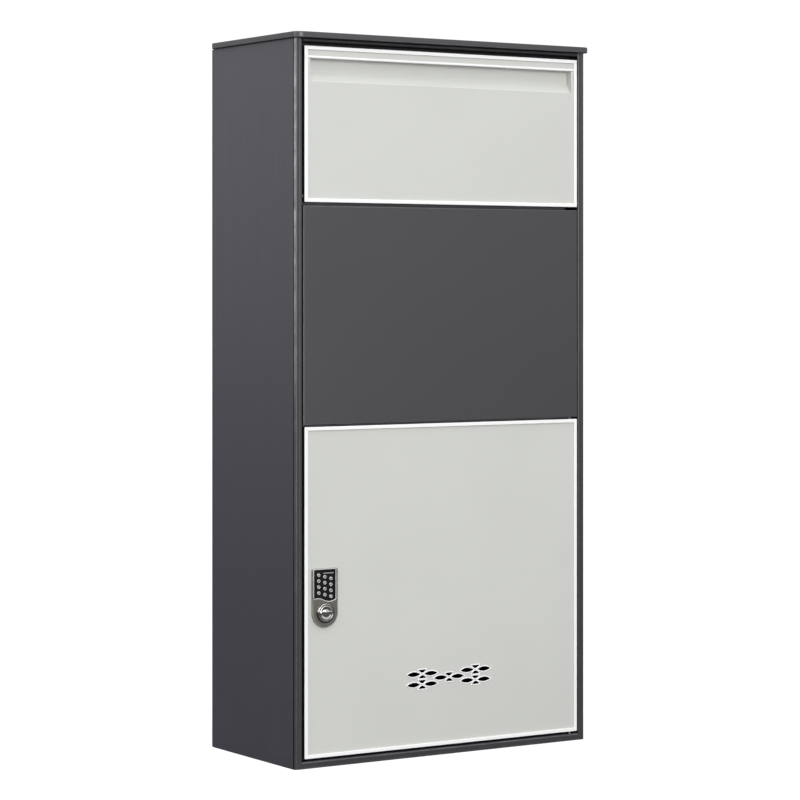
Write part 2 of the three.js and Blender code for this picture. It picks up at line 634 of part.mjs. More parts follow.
// A leaf-shaped opening with pointed ends on its long axis, centred on a point. A curve's control
// point is twice as far from the axis as the curve itself.
function leafShape([x, z], { length, width }) {
  const half = length / 2;
  return new THREE.Shape()
    .moveTo(x - half, z)
    .quadraticCurveTo(x, z + width, x + half, z)
    .quadraticCurveTo(x, z - width, x - half, z);
}

// Half a leaf: its straight edge goes through the point, and it bulges up (sign 1) or down (sign -1).
function budShape([x, z], { length, width }, sign) {
  const half = length / 2;
  return new THREE.Shape()
    .moveTo(x - half, z)
    .lineTo(x + half, z)
    .quadraticCurveTo(x, z + 2 * sign * width, x - half, z);
}

function ventTools() {
  const [cx, cz] = [VENT_CENTRE[0], DOOR_Z[0] + VENT_CENTRE[1]];
  const pairs = [-1, 1].flatMap((side) =>
    [-1, 1].map((row) => [cx + side * VENT_PITCH, cz + row * VENT_PAIR_RISE]));
  const through = [FRONT - PAST, FRONT + SKIN + PAST];
  return [[cx, cz], ...pairs].flatMap(([x, z]) => [
    ...[-1, 1].map((side) => alongY(leafShape([x + side * VENT_LEAF.offset, z], VENT_LEAF), through)),
    ...[-1, 1].map((side) => alongY(budShape([x, z + side * VENT_BUD.offset], VENT_BUD, -side), through, 4)),
  ]);
}

function addDoor() {
  const pins = DOOR_Z.map((z) => doorPinHole([z - 2 * SKIN, z + 2 * SKIN]));
  const spindle = rod("y", LOCK_BORE_RADIUS, [FRONT - PAST, LEAF_BACK + PAST], [KNOB.x, KNOB.z]);
  add("door_skin", cut(tray(LEAF, DOOR_Z, LEAF_DEPTH), spindle, ...pins, ...ventTools()), LIGHT_GREY);
  add("door_edge_trim", trimRing(LEAF, DOOR_Z), WHITE);

  const half = LEAF - SKIN - FIT;
  const [ventHalf, ventHeight] = [VENT_WINDOW[0] / 2, VENT_WINDOW[1] / 2];
  const [cx, cz] = [VENT_CENTRE[0], DOOR_Z[0] + VENT_CENTRE[1]];
  const window = block(
    [cx - ventHalf, cx + ventHalf],
    [LINER_FRONT - PAST, LEAF_BACK + PAST],
    [cz - ventHeight, cz + ventHeight],
  );
  const linerZ = [DOOR_Z[0] + SKIN + FIT, DOOR_Z[1] - SKIN - FIT];
  const liner = block([-half, half], [LINER_FRONT, LEAF_BACK], linerZ);
  add("door_liner", cut(liner, window, spindle), INNER_GREY);
}

// ---- Lock ----

// Outline of the black key window in (x, z), grown by a margin; its lower edge is an S-shaped wave.
function windowShape(margin) {
  const half = WINDOW.width / 2 + margin;
  const [left, right] = [KNOB.x - half, KNOB.x + half];
  const top = KNOB.z + LOCK_TOP - WINDOW.rim + Math.min(margin, WINDOW.rim / 2);
  const [lowLeft, lowRight] = [KNOB.z + WINDOW.left - margin, KNOB.z + WINDOW.right - margin];
  return new THREE.Shape()
    .moveTo(left, lowLeft)
    .lineTo(left, top)
    .lineTo(right, top)
    .lineTo(right, lowRight)
    .bezierCurveTo(
      KNOB.x + half / 3,
      lowRight - WINDOW.wave,
      KNOB.x - half / 3,
      lowLeft + WINDOW.wave,
      left,
      lowLeft,
    );
}

const keyPlaces = Array.from({ length: KEY_ROWS * KEY_COLUMNS }, (_, i) => {
  const [row, column] = [Math.floor(i / KEY_COLUMNS), i % KEY_COLUMNS];
  const x = KNOB.x + KEY_SHIFT + (column - 1) * KEY_PITCH_X;
  const z = KNOB.z + LOCK_TOP - KEY_FIRST_DROP - row * KEY_PITCH_Z - column * KEY_COLUMN_DROP;
  return [x, z];
});

function addLockPlate() {
  const half = LOCK_WIDTH / 2;
  const outline = new THREE.Shape()
    .moveTo(KNOB.x - half, KNOB.z + LOCK_TOP)
    .lineTo(KNOB.x - half, KNOB.z)
    .absarc(KNOB.x, KNOB.z, half, Math.PI, 2 * Math.PI, false)
    .lineTo(KNOB.x + half, KNOB.z + LOCK_TOP);
  const plate = alongY(outline, [LOCK_FACE, FRONT - FIT], 20);
  const pocket = alongY(windowShape(FIT), [LOCK_FACE - PAST, LOCK_FACE + WINDOW.pocket]);
  const spindle = rod("y", SPINDLE_RADIUS + FIT, [LOCK_FACE - PAST, FRONT + PAST], [KNOB.x, KNOB.z]);
  add("lock_faceplate", cut(plate, pocket, spindle), NICKEL);

  const window = alongY(windowShape(0), [LOCK_FACE, LOCK_FACE + WINDOW.thickness]);
  const through = [LOCK_FACE - PAST, LOCK_FACE + WINDOW.thickness + PAST];
  const holes = keyPlaces.map((place) => rod("y", KEY.radius + FIT, through, place, SMALL_ROUND));
  add("keypad_window", cut(window, ...holes), BLACK);
}

function addKeys() {
  const flangeFront = LOCK_FACE + WINDOW.thickness + FIT;
  const keyBack = flangeFront + KEY.flangeThickness;
  keyPlaces.forEach((place, i) => {
    const cap = rod("y", KEY.radius, [LOCK_FACE - KEY.proud, keyBack], place, SMALL_ROUND);
    const flange = rod("y", KEY.flange, [flangeFront, keyBack], place, SMALL_ROUND);
    add(`key_${i + 1}`, join(cap, flange), CHROME);
  });
}

function addKnob() {
  const centre = [KNOB.x, KNOB.z];
  const ringBack = LOCK_FACE - FIT;
  const inner = KNOB_RADIUS + FIT;
  const step = (RING_RADIUS - inner) / 2;
  const ring = join(
    rod("y", RING_RADIUS, [ringBack - RING_HEIGHT / 2, ringBack], centre, FINE_ROUND),
    rod("y", RING_RADIUS - step, [ringBack - RING_HEIGHT, ringBack], centre, FINE_ROUND),
  );
  const hole = rod("y", inner, [ringBack - RING_HEIGHT - PAST, ringBack + PAST], centre, FINE_ROUND);
  add("lock_ring", cut(ring, hole), CHROME);

  const discFront = ringBack - KNOB_DISC;
  const camBack = CAM_FRONT + CAM_THICKNESS;
  const grip = block(
    [KNOB.x - KNOB_GRIP.length / 2, KNOB.x + KNOB_GRIP.length / 2],
    [discFront - KNOB_GRIP.height, discFront + PAST],
    [KNOB.z - KNOB_GRIP.width / 2, KNOB.z + KNOB_GRIP.width / 2],
  );
  const knob = join(
    rod("y", KNOB_RADIUS, [discFront, ringBack], centre, FINE_ROUND),
    rod("y", SPINDLE_RADIUS, [ringBack - PAST, camBack], centre),
    grip,
  );
  const threadEnds = [camBack - CAM_SCREW.hole, camBack + PAST];
  const thread = rod("y", CAM_SCREW.radius + FIT, threadEnds, centre, SMALL_ROUND);
  add("lock_knob", cut(knob, thread), CHROME);
  addCam(camBack);
}

function addCam(camBack) {
  const centre = [KNOB.x, KNOB.z];
  const half = CAM_WIDTH / 2;
  const length = INSIDE + KNOB.x - CAM_TIP_GAP;
  const arm = new THREE.Shape()
    .moveTo(KNOB.x + half, KNOB.z)
    .absarc(KNOB.x, KNOB.z, half, 0, Math.PI, false)
    .lineTo(KNOB.x - half, KNOB.z - length)
    .lineTo(KNOB.x + half, KNOB.z - length);
  const bore = rod("y", SPINDLE_RADIUS + FIT, [CAM_FRONT - PAST, camBack + PAST], centre);
  add("lock_cam", cut(alongY(arm, [CAM_FRONT, camBack], 12), bore), STEEL);

  const headFront = camBack + FIT;
  const screw = join(
    rod("y", CAM_SCREW.head, [headFront, headFront + CAM_SCREW.headHeight], centre, HEXAGON),
    rod("y", CAM_SCREW.radius, [camBack - CAM_SCREW.reach, headFront + PAST], centre, SMALL_ROUND),
  );
  add("cam_screw", screw, STEEL);
}

function addLockHousing() {
  const half = HOUSING.width / 2;
  const shell = block(
    [KNOB.x - half, KNOB.x + half],
    [HOUSING_FRONT, HOUSING_BACK],
    [KNOB.z - HOUSING.below, KNOB.z + HOUSING.top],
  );
  const bore = rod("y", SPINDLE_RADIUS + FIT, [HOUSING_FRONT - PAST, HOUSING_BACK + PAST], [KNOB.x, KNOB.z]);
  add("lock_housing", cut(shell, bore), BLACK);

  const coverHalf = BATTERY_COVER.width / 2;
  const coverFront = HOUSING_BACK + FIT;
  const cover = block(
    [KNOB.x - coverHalf, KNOB.x + coverHalf],
    [coverFront, coverFront + BATTERY_COVER.thickness],
    [KNOB.z + BATTERY_COVER.bottom, KNOB.z + BATTERY_COVER.top],
  );
  add("battery_cover", cover, BLACK);

  const screw = ([x, z]) => rod(
    "y",
    LOCK_SCREW.radius,
    [coverFront, coverFront + LOCK_SCREW.height],
    [KNOB.x + x, KNOB.z + z],
    SMALL_ROUND,
  );
  add("lock_screw_lower", screw(LOCK_SCREW_LOW), STEEL);
  add("lock_screw_upper", screw(LOCK_SCREW_HIGH), STEEL);
}

addShell();
addCap();
addFrontFrame();
addMiddle();
addDoorPivots();
addFlapPivots();
addStops();
addBaffle();
addFlap();
addHopper();
addDoor();
addLockPlate();
addKeys();
addKnob();
addLockHousing();

export default box;
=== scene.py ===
"""The looks of a steel parcel drop box: a graphite cabinet with a light grey hopper flap at the top, a fixed
panel in the middle and a light grey door with a keypad lock at the bottom.

Sizes are in millimetres and become metres when a mesh is made. The front faces -Y, and +Z is up.
"""
import json
import logging
import math
from collections.abc import Sequence
from dataclasses import dataclass, field
from enum import Enum

import bmesh
import bpy
import numpy as np
from mathutils.geometry import delaunay_2d_cdt
from numpy.typing import NDArray
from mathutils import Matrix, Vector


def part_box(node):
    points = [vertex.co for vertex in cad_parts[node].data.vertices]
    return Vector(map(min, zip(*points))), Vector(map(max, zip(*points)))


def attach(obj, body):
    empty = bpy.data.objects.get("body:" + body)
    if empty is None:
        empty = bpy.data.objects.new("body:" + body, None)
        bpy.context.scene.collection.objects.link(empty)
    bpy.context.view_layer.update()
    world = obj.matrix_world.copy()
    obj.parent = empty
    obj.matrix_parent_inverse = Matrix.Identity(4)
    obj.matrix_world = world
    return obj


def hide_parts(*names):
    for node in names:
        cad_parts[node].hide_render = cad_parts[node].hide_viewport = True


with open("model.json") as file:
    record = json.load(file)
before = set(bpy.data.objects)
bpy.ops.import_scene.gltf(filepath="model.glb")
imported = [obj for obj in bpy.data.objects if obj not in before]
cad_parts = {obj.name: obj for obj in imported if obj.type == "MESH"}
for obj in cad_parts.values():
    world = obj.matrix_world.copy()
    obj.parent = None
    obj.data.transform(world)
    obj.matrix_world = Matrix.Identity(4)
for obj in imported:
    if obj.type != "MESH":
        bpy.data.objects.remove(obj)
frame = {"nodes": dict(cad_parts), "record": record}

Array = NDArray[np.float64]
Faces = NDArray[np.int64]
Socket, Tree, Node = bpy.types.NodeSocket, bpy.types.NodeTree, bpy.types.Node

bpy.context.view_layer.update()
MM = 0.001
WELD_MM = 0.002  # points closer than this become one
CREASE_DEGREES = 35.0  # sharper folds than this stay crisp in the shading
FLAT_GAP = 0.4  # support points lie this far from a rounding, so that flat faces shade flat
ARC_STEPS = 4
DUST_COLOUR = (168, 163, 155)
DUST_ROUGHNESS = 0.35
BUMP_METRES = 0.0002
COAT_ROUGHNESS = 0.12
log = logging.getLogger("parcel_box")


class Axis(Enum):
    """An axis of the frame; the other two, in order, carry a flat outline."""

    X = (0, (1, 2))
    Y = (1, (0, 2))
    Z = (2, (0, 1))

    @property
    def along(self) -> int:
        """Index of the axis itself."""
        return self.value[0]

    def place(self, flat: Array, level: Array | float) -> Array:
        """Put flat points into space at a level on this axis.

        Args:
            flat: Points with their two flat coordinates last.
            level: Coordinate on the axis, one for all points or one for each.

        Returns:
            The same points with three coordinates last.
        """
        first, second = self.value[1]
        space = np.empty((*flat.shape[:-1], 3))
        space[..., first] = flat[..., 0]
        space[..., second] = flat[..., 1]
        space[..., self.along] = level
        return space


@dataclass(frozen=True)
class Extent:
    """The box around a node of the frame, in millimetres."""

    low: Array
    high: Array

    @classmethod
    def of(cls, node: str) -> "Extent":
        """Read the box of a node."""
        low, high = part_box(node)
        return cls(np.array(low) / MM, np.array(high) / MM)

    @property
    def middle(self) -> Array:
        """Centre of the box."""
        return (self.low + self.high) / 2

    @property
    def centre(self) -> Array:
        """Centre, seen from the front."""
        return self.middle[[0, 2]]

    @property
    def radius(self) -> float:
        """Half of its width."""
        return (self.high[0] - self.low[0]) / 2

    @property
    def deep(self) -> tuple[float, float]:
        """Front and back level."""
        return self.low[1], self.high[1]

    def flat(self, axis: Axis) -> tuple[Array, Array]:
        """Lowest and highest corner, seen along an axis."""
        pick = list(axis.value[1])
        return self.low[pick], self.high[pick]


# ---- Outlines ----


def rectangle(low: Array, high: Array) -> Array:
    """Corners of a rectangle, anticlockwise from the lowest one."""
    return np.array([[low[0], low[1]], [high[0], low[1]], [high[0], high[1]], [low[0], high[1]]])


def rounded(corners: Array, radii: Array | float, steps: int = ARC_STEPS, gap: float = FLAT_GAP) -> Array:
    """Round every corner of a closed outline.

    At a corner where the path turns by an angle a, the arc of radius r starts r * tan(a / 2) before it, and
    its points turn about a centre one radius to the side, from 0 to a in equal steps. One support point lies
    a gap before each arc and one a gap after it. Both lengths stay inside half of the shorter side.

    Args:
        corners: (..., n, 2) corner points; leading axes are separate outlines.
        radii: Radius at each corner.
        steps: Steps in each arc.
        gap: Distance of the support points from the arc.

    Returns:
        (..., n * (steps + 3), 2) points.
    """
    into = corners - np.roll(corners, 1, axis=-2)
    out = np.roll(corners, -1, axis=-2) - corners
    into_length = np.linalg.norm(into, axis=-1)
    out_length = np.linalg.norm(out, axis=-1)
    into = into / into_length[..., None]
    out = out / out_length[..., None]
    turn = np.arctan2(into[..., 0] * out[..., 1] - into[..., 1] * out[..., 0], (into * out).sum(-1))
    tan_half = np.maximum(np.tan(np.abs(turn) / 2), 1e-9)
    room = 0.49 * np.minimum(into_length, out_length)
    trim = np.minimum(np.broadcast_to(radii, turn.shape) * tan_half, room)
    pad = np.minimum(gap, room - trim)
    left = np.stack([-into[..., 1], into[..., 0]], -1)
    centre = corners - into * trim[..., None] + left * (np.sign(turn) * trim / tan_half)[..., None]
    spoke = corners - into * trim[..., None] - centre
    angle = turn[..., None] * np.linspace(0, 1, steps + 1)
    cosine, sine = np.cos(angle), np.sin(angle)
    arc = centre[..., None, :] + np.stack(
        [
            cosine * spoke[..., None, 0] - sine * spoke[..., None, 1],
            sine * spoke[..., None, 0] + cosine * spoke[..., None, 1],
        ],
        -1,
    )
    before = (corners - into * (trim + pad)[..., None])[..., None, :]
    after = (corners + out * (trim + pad)[..., None])[..., None, :]
    points = np.concatenate([before, arc, after], axis=-2)
    return points.reshape(*corners.shape[:-2], -1, 2)


def arc_mask(count: int, steps: int = ARC_STEPS) -> Array:
    """1 on the points of each arc that rounded() makes, and 0 on its support points."""
    return np.tile(np.r_[0.0, np.ones(steps + 1), 0.0], count)


def profile(corners: Array, radii: Array, steps: int = ARC_STEPS,
            gap: float = FLAT_GAP) -> tuple[Array, Array]:
    """Round the inner corners of an open path, whose two ends stay as they are.

    Args:
        corners: (n, 2) points.
        radii: Radius at each point; the ends' are not used.
        steps: Steps in each arc.
        gap: Distance of the support points from each arc.

    Returns:
        The points, and a mask that is 1 on the arcs.
    """
    size = steps + 3
    points = rounded(corners, radii, steps, gap)[size:-size]
    mask = arc_mask(len(corners) - 2, steps)
    return np.concatenate([corners[:1], points, corners[-1:]]), np.r_[0.0, mask, 0.0]


def distinct(outline: Array) -> Array:
    """Drop each point that lies on the one before it."""
    return outline[np.linalg.norm(outline - np.roll(outline, 1, axis=0), axis=1) > WELD_MM]


def panel(low: Array, high: Array, radius: float, steps: int = ARC_STEPS, gap: float = FLAT_GAP) -> Array:
    """A rectangle with rounded corners and no double points."""
    return distinct(rounded(rectangle(low, high), radius, steps, gap))


def grown(outline: Array, distance: Array, limit: float = 2.2) -> Array:
    """Move an outline outwards by several distances.

    Each point moves along the mean of the outward normals of its two edges, by the distance over the cosine
    of half the turn between them, so that the edges keep their distance. A limit holds sharp tips short.

    Args:
        outline: (m, 2) points, anticlockwise, none double.
        distance: (k,) distances; a negative one moves inwards.
        limit: Longest move of a tip, in distances.

    Returns:
        (k, m, 2) outlines.
    """
    edge = np.roll(outline, -1, axis=0) - outline
    normal = np.stack([edge[:, 1], -edge[:, 0]], -1) / np.linalg.norm(edge, axis=1)[:, None]
    mean = normal + np.roll(normal, 1, axis=0)
    mean /= np.maximum(np.linalg.norm(mean, axis=1), 1e-9)[:, None]
    stretch = np.minimum(1 / np.maximum((mean * normal).sum(1), 1e-3), limit)
    return outline + np.asarray(distance)[:, None, None] * (mean * stretch[:, None])


def inside(points: Array, outline: Array) -> NDArray[np.bool_]:
    """Whether points lie in an outline: a ray towards the first coordinate crosses it an odd number of times.

    Args:
        points: (n, 2) points.
        outline: (m, 2) closed outline.

    Returns:
        (n,) flags.
    """
    start, end = outline[None], np.roll(outline, -1, axis=0)[None]
    x, y = points[:, :1], points[:, 1:]
    spans = (start[..., 1] > y) != (end[..., 1] > y)
    rise = np.where(end[..., 1] == start[..., 1], 1.0, end[..., 1] - start[..., 1])
    crossing = start[..., 0] + (y - start[..., 1]) * (end[..., 0] - start[..., 0]) / rise
    return (spans & (x < crossing)).sum(axis=1) % 2 == 1


def circle(centre: Array, radius: float, count: int = 32) -> Array:
    """Points of a circle, anticlockwise."""
    angle = np.arange(count) * 2 * math.pi / count
    return np.asarray(centre) + radius * np.stack([np.cos(angle), np.sin(angle)], -1)


def folded(path: Array, sheet: float, bend: float = 2.0, lip: float = 0.35) -> tuple[Array, Array]:
    """Outline of a folded sheet that lies on the left of its outer line.

    The inner line is the outer one moved left by the sheet over the cosine of half of each turn. A left turn
    has the bend radius outside and the bend less the sheet inside, and a right turn the other way.

    Args:
        path: (n, 2) outer line.
        sheet: Thickness.
        bend: Larger radius of each bend.
        lip: Rounding of the sheet's cut edges.

    Returns:
        The closed outline, and a mask that is 1 on its arcs.
    """
    edge = np.diff(path, axis=0)
    edge /= np.linalg.norm(edge, axis=1)[:, None]
    left = np.stack([-edge[:, 1], edge[:, 0]], -1)
    before = np.concatenate([left[:1], left])
    after = np.concatenate([left, left[-1:]])
    mean = before + after
    mean /= np.linalg.norm(mean, axis=1)[:, None]
    inner = path + mean * (sheet / (mean * before).sum(1))[:, None]
    turn = before[:, 0] * after[:, 1] - before[:, 1] * after[:, 0]
    tight = max(bend - sheet, 0.2)
    outer_radius = np.where(turn > 0, bend, tight)
    inner_radius = np.where(turn > 0, tight, bend)
    outer_radius[[0, -1]] = lip
    inner_radius[[0, -1]] = lip
    corners = np.concatenate([path, inner[::-1]])
    radii = np.concatenate([outer_radius, inner_radius[::-1]])
    return rounded(corners, radii), arc_mask(len(corners))


# ---- Patches of surface ----


@dataclass(frozen=True)
class Patch:
    """Points and faces of one patch, with masks for its materials.

    Attributes:
        points: (n, 3) points in millimetres.
        faces: (f, 3) or (f, 4) indices.
        edge: (n,) how exposed each point is to rubbing, 0 to 1; on the posts' outer corner it carries a
            painted highlight.
        inlay: (n,) 1 where the surface carries its second colour, which on some finishes is painted shade in
            seams, gaps and openings.
    """

    points: Array
    faces: Faces
    edge: Array
    inlay: Array

    @classmethod
    def grid(cls, rows: Array, edge: Array | float = 0.0, inlay: Array | float = 0.0, closed: bool = False,
             ring: bool = True) -> "Patch":
        """Quads between neighbouring rows of points.

        Args:
            rows: (k, m, 3) points.
            edge: Mask that broadcasts to (k, m).
            inlay: Mask that broadcasts to (k, m).
            closed: Whether the last row joins the first one.
            ring: Whether each row's last point joins its first one.

        Returns:
            The patch.
        """
        count, width = rows.shape[:2]
        row = np.arange(count if closed else count - 1)[:, None]
        column = np.arange(width if ring else width - 1)[None, :]
        next_row, next_column = (row + 1) % count, (column + 1) % width
        quads = np.stack(
            [row * width + column, row * width + next_column, next_row * width + next_column,
             next_row * width + column],
            -1,
        ).reshape(-1, 4)
        return cls(rows.reshape(-1, 3), quads, cls._spread(edge, rows), cls._spread(inlay, rows))

    @classmethod
    def loft(cls, loops: Array, levels: Array, edge: Array | float = 0.0, inlay: Array | float = 0.0,
             axis: Axis = Axis.Y, closed: bool = False) -> "Patch":
        """Quads between flat loops that lie at levels on an axis.

        Args:
            loops: (k, m, 2) loops.
            levels: (k,) level of each loop.
            edge: (k,) mask, or one value for all.
            inlay: (k,) mask, or one value for all.
            axis: Axis that the loops are square to.
            closed: Whether the last loop joins the first one.

        Returns:
            The patch.
        """
        rows = axis.place(loops, np.asarray(levels)[:, None])
        return cls.grid(rows, np.reshape(edge, (-1, 1)), np.reshape(inlay, (-1, 1)), closed)

    @classmethod
    def ladder(cls, loop: Array, edge: Array | float = 0.0) -> "Patch":
        """Close a loop whose second half runs back along its first half, with quads between them."""
        rung = np.arange(len(loop) // 2 - 1)
        last = len(loop) - 1
        quads = np.stack([rung, rung + 1, last - 1 - rung, last - rung], -1)
        return cls(loop, quads, cls._spread(edge, loop[None]), cls._spread(0.0, loop[None]))

    @classmethod
    def field(cls, outer: Array, holes: Sequence[Array], axis: Axis, level: float) -> "Patch":
        """A flat region between an outer loop and hole loops, in triangles.

        Args:
            outer: (n, 2) loop.
            holes: Loops cut out of it.
            axis: Axis that the region is square to.
            level: Place on that axis.

        Returns:
            The patch.
        """
        loops = [distinct(loop) for loop in (outer, *holes)]
        starts = np.cumsum([0, *(len(loop) for loop in loops)])
        edges = np.concatenate([
            np.stack([np.arange(len(loop)), (np.arange(len(loop)) + 1) % len(loop)], -1) + start
            for loop, start in zip(loops, starts)
        ])
        made = delaunay_2d_cdt(np.concatenate(loops).tolist(), edges.tolist(), [], 0, 1e-5, False)
        flat = np.array([tuple(point) for point in made[0]])
        faces = np.array(list(made[2]), dtype=np.int64)
        centroids = flat[faces].mean(axis=1)
        kept = inside(centroids, loops[0])
        for hole in loops[1:]:
            kept &= ~inside(centroids, hole)
        faces = faces[kept]
        points = axis.place(flat, level)
        return cls(points, faces, np.zeros(len(points)), np.zeros(len(points)))

    @staticmethod
    def _spread(mask: Array | float, rows: Array) -> Array:
        """One mask value for each point of some rows."""
        return np.broadcast_to(mask, rows.shape[:2]).astype(float).reshape(-1)


def sweep(outline: Array, mask: Array, axis: Axis, start: Array | float, end: Array | float,
          inlay: Array | float = 0.0, stations: Sequence[float] = ()) -> list[Patch]:
    """Carry a ladder-like outline straight along an axis and close both ends.

    Each outline point runs from its own start to its own end, so a mitre is a start that depends on the
    point. Two support rows lie a gap inside the ends.

    Args:
        outline: (m, 2) closed outline whose halves face each other.
        mask: Edge mask, (m,) for the outline or (4 + stations, m) for every row.
        axis: Axis of the sweep.
        start: First level, for all points or one each.
        end: Last level.
        inlay: (m,) inlay mask of the outline.
        stations: Shares of the length at which further rows lie.

    Returns:
        The wall and its two ends.
    """
    low = np.broadcast_to(start, len(outline)).astype(float)
    high = np.broadcast_to(end, len(outline)).astype(float)
    between = [low + share * (high - low) for share in stations]
    levels = np.stack([low, low + FLAT_GAP, *between, high - FLAT_GAP, high])
    rows = axis.place(np.broadcast_to(outline, (len(levels), *outline.shape)), levels)
    ends = np.r_[1.0, np.zeros(len(levels) - 2), 1.0]
    edge = np.maximum(mask, ends[:, None])
    return [Patch.grid(rows, edge, inlay), Patch.ladder(rows[0]), Patch.ladder(rows[-1])]


def revolve(radius: Array, level: Array, centre: Array, axis: Axis = Axis.Y, mask: Array | float = 0.0,
            inlay: Array | float = 0.0, count: int = 32, closed: bool = False) -> Patch:
    """Turn a profile about a line along an axis.

    The point at angle t lies at the centre plus radius * (cos t, sin t), at the profile's level.

    Args:
        radius: (k,) distances from the line; a 0 at either end closes a pole.
        level: (k,) places on the axis.
        centre: Flat place of the line.
        axis: Axis of the line.
        mask: (k,) edge mask.
        inlay: (k,) inlay mask.
        count: Points round the line.
        closed: Whether the profile's end joins its start.

    Returns:
        The patch.
    """
    angle = np.arange(count) * 2 * math.pi / count
    spokes = np.stack([np.cos(angle), np.sin(angle)], -1)
    loops = np.asarray(centre) + np.asarray(radius)[:, None, None] * spokes
    return Patch.loft(loops, level, mask, inlay, axis, closed)


@dataclass(frozen=True)
class Plate:
    """A flat piece of even thickness with rounded edges and holes.

    Attributes:
        outline: (m, 2) anticlockwise outline, none of its points double.
        span: Lowest and highest level on the axis.
        axis: Axis across the thickness.
        holes: Anticlockwise outlines of the holes.
        soft: Rounding of the edges at the lowest and at the highest level.
        gap: Support distance beside the roundings.
        pockets: Outline and floor level of each pocket in the lowest face.
    """

    outline: Array
    span: tuple[float, float]
    axis: Axis = Axis.Y
    holes: tuple[Array, ...] = ()
    soft: tuple[float, float] = (0.3, 0.3)
    gap: float = 0.25
    pockets: tuple[tuple[Array, float], ...] = ()

    def patches(self) -> list[Patch]:
        """Both faces, the outer wall and the wall of each hole.

        A wall is the outline carried along a path of (inset, level) with a quarter round at each face, and
        the faces fill what is left inside the walls.

        Returns:
            The patches.
        """
        walls = [self.wall(self.outline, -1.0), *(self.wall(hole, 1.0) for hole in self.holes)]
        sunk = [self.well(outline, floor) for outline, floor in self.pockets]
        made = [Patch.loft(loops, levels, mask, axis=self.axis) for loops, levels, mask in walls + sunk]
        made += [Patch.field(loops[-1], [], self.axis, levels[-1]) for loops, levels, _ in sunk]
        low_loops = [loops[0] for loops, _, _ in walls + sunk]
        high_loops = [loops[-1] for loops, _, _ in walls]
        made.append(Patch.field(low_loops[0], low_loops[1:], self.axis, self.span[0]))
        made.append(Patch.field(high_loops[0], high_loops[1:], self.axis, self.span[1]))
        return made

    def well(self, outline: Array, floor: float) -> tuple[Array, Array, Array]:
        """Loops, levels and edge mask of a pocket's wall, from the lowest face down to its floor."""
        low = self.span[0]
        corners = np.array([[self.soft[0] + self.gap, low], [0.0, low], [0.0, floor]])
        path, mask = profile(corners, np.array([0.0, self.soft[0], 0.0]), gap=self.gap / 2)
        return grown(outline, path[:, 0]), path[:, 1], mask

    def wall(self, outline: Array, sign: float) -> tuple[Array, Array, Array]:
        """Loops, levels and edge mask of the wall along an outline; the sign says where the material lies."""
        low, high = self.span
        inset = max(self.soft) + self.gap
        corners = np.array([[inset, low], [0.0, low], [0.0, high], [inset, high]])
        path, mask = profile(corners, np.array([0.0, self.soft[0], self.soft[1], 0.0]), gap=self.gap / 2)
        return grown(outline, sign * path[:, 0]), path[:, 1], mask


@dataclass(frozen=True)
class Tray:
    """An open-backed tray of thin sheet: a face with returns on its four edges.

    Attributes:
        low: Lowest corner, seen from the front.
        high: Highest corner.
        span: Front and back level.
        sheet: Thickness.
        bend: Outside radius where the face folds into the returns.
        corner: Radius of the four corners, seen from the front.
        windows: Holes in the face, as anticlockwise outlines.
        window_soft: Rounding of the windows' front edges.
        window_dark: Whether the windows' walls carry the inlay colour, painted shade inside the openings.
    """

    low: Array
    high: Array
    span: tuple[float, float]
    sheet: float = 1.2
    bend: float = 1.3
    corner: float = 1.0
    windows: tuple[Array, ...] = ()
    window_soft: float = 0.35
    window_dark: bool = False

    def patches(self) -> list[Patch]:
        """The folded wall, the two sides of the face, and the wall of each window.

        The wall is a rounded rectangle carried along a path of (inset, level) that starts on the face, folds
        round the front edge, runs to the back edge, and comes back inside.

        Returns:
            The patches.
        """
        front, back = self.span
        inset = self.bend + FLAT_GAP
        behind = front + self.sheet
        corners = np.array([[inset, front], [0, front], [0, back], [self.sheet, back], [self.sheet, behind],
                            [inset, behind]])
        path, mask = profile(corners, np.array([0, self.bend, 0.4, 0.4, 0.3, 0]))
        loops = ring_loops(self.low, self.high, path[:, 0], self.corner)
        # The returns carry the inlay colour: painted shade in the gaps round the panel.
        returns = path[:, 1] > front + 0.15
        made = [Patch.loft(loops, path[:, 1], mask, returns)]
        holes = []
        for window in self.windows:
            wall = Plate(window, (front, behind), soft=(self.window_soft, 0.2))
            hole_loops, levels, hole_mask = wall.wall(window, 1.0)
            holes.append(hole_loops)
            # The windows' walls can carry the inlay colour, painted shade inside the openings.
            dark = self.window_dark & (levels > front + 0.05)
            made.append(Patch.loft(hole_loops, levels, hole_mask, dark))
        made.append(Patch.field(loops[0], [hole[0] for hole in holes], Axis.Y, front))
        made.append(Patch.field(loops[-1], [hole[-1] for hole in holes], Axis.Y, behind))
        return made


def ring_loops(low: Array, high: Array, inset: Array, corner: float, steps: int = ARC_STEPS) -> Array:
    """Rounded rectangles inside one another.

    Args:
        low: Lowest corner of the outermost rectangle.
        high: Highest corner.
        inset: (k,) distances inwards.
        corner: Corner radius of the outermost rectangle; it shrinks with the inset.
        steps: Steps round each corner.

    Returns:
        (k, m, 2) loops with the same number of points each.
    """
    base = rectangle(low, high)
    inwards = np.array([[1, 1], [-1, 1], [-1, -1], [1, -1]])
    corners = base + np.asarray(inset)[:, None, None] * inwards
    radii = np.maximum(corner - np.asarray(inset), 0.05)[:, None]
    return rounded(corners, radii, steps)


def border(low: Array, high: Array, width: float, span: tuple[float, float], soft: float = 0.6) -> Patch:
    """A flat frame with rounded front edges: a rectangle ring carried round a closed section.

    Args:
        low: Lowest corner of the outside.
        high: Highest corner.
        width: Width of the band.
        span: Front and back level.
        soft: Rounding of the two front edges.

    Returns:
        The patch.
    """
    front, back = span
    section = rounded(np.array([[0, front], [0, back], [width, back], [width, front]]),
                      np.array([soft, 0.1, 0.1, soft]), gap=0.2)
    loops = ring_loops(low, high, section[:, 0], 1.0)
    return Patch.loft(loops, section[:, 1], arc_mask(4), closed=True)


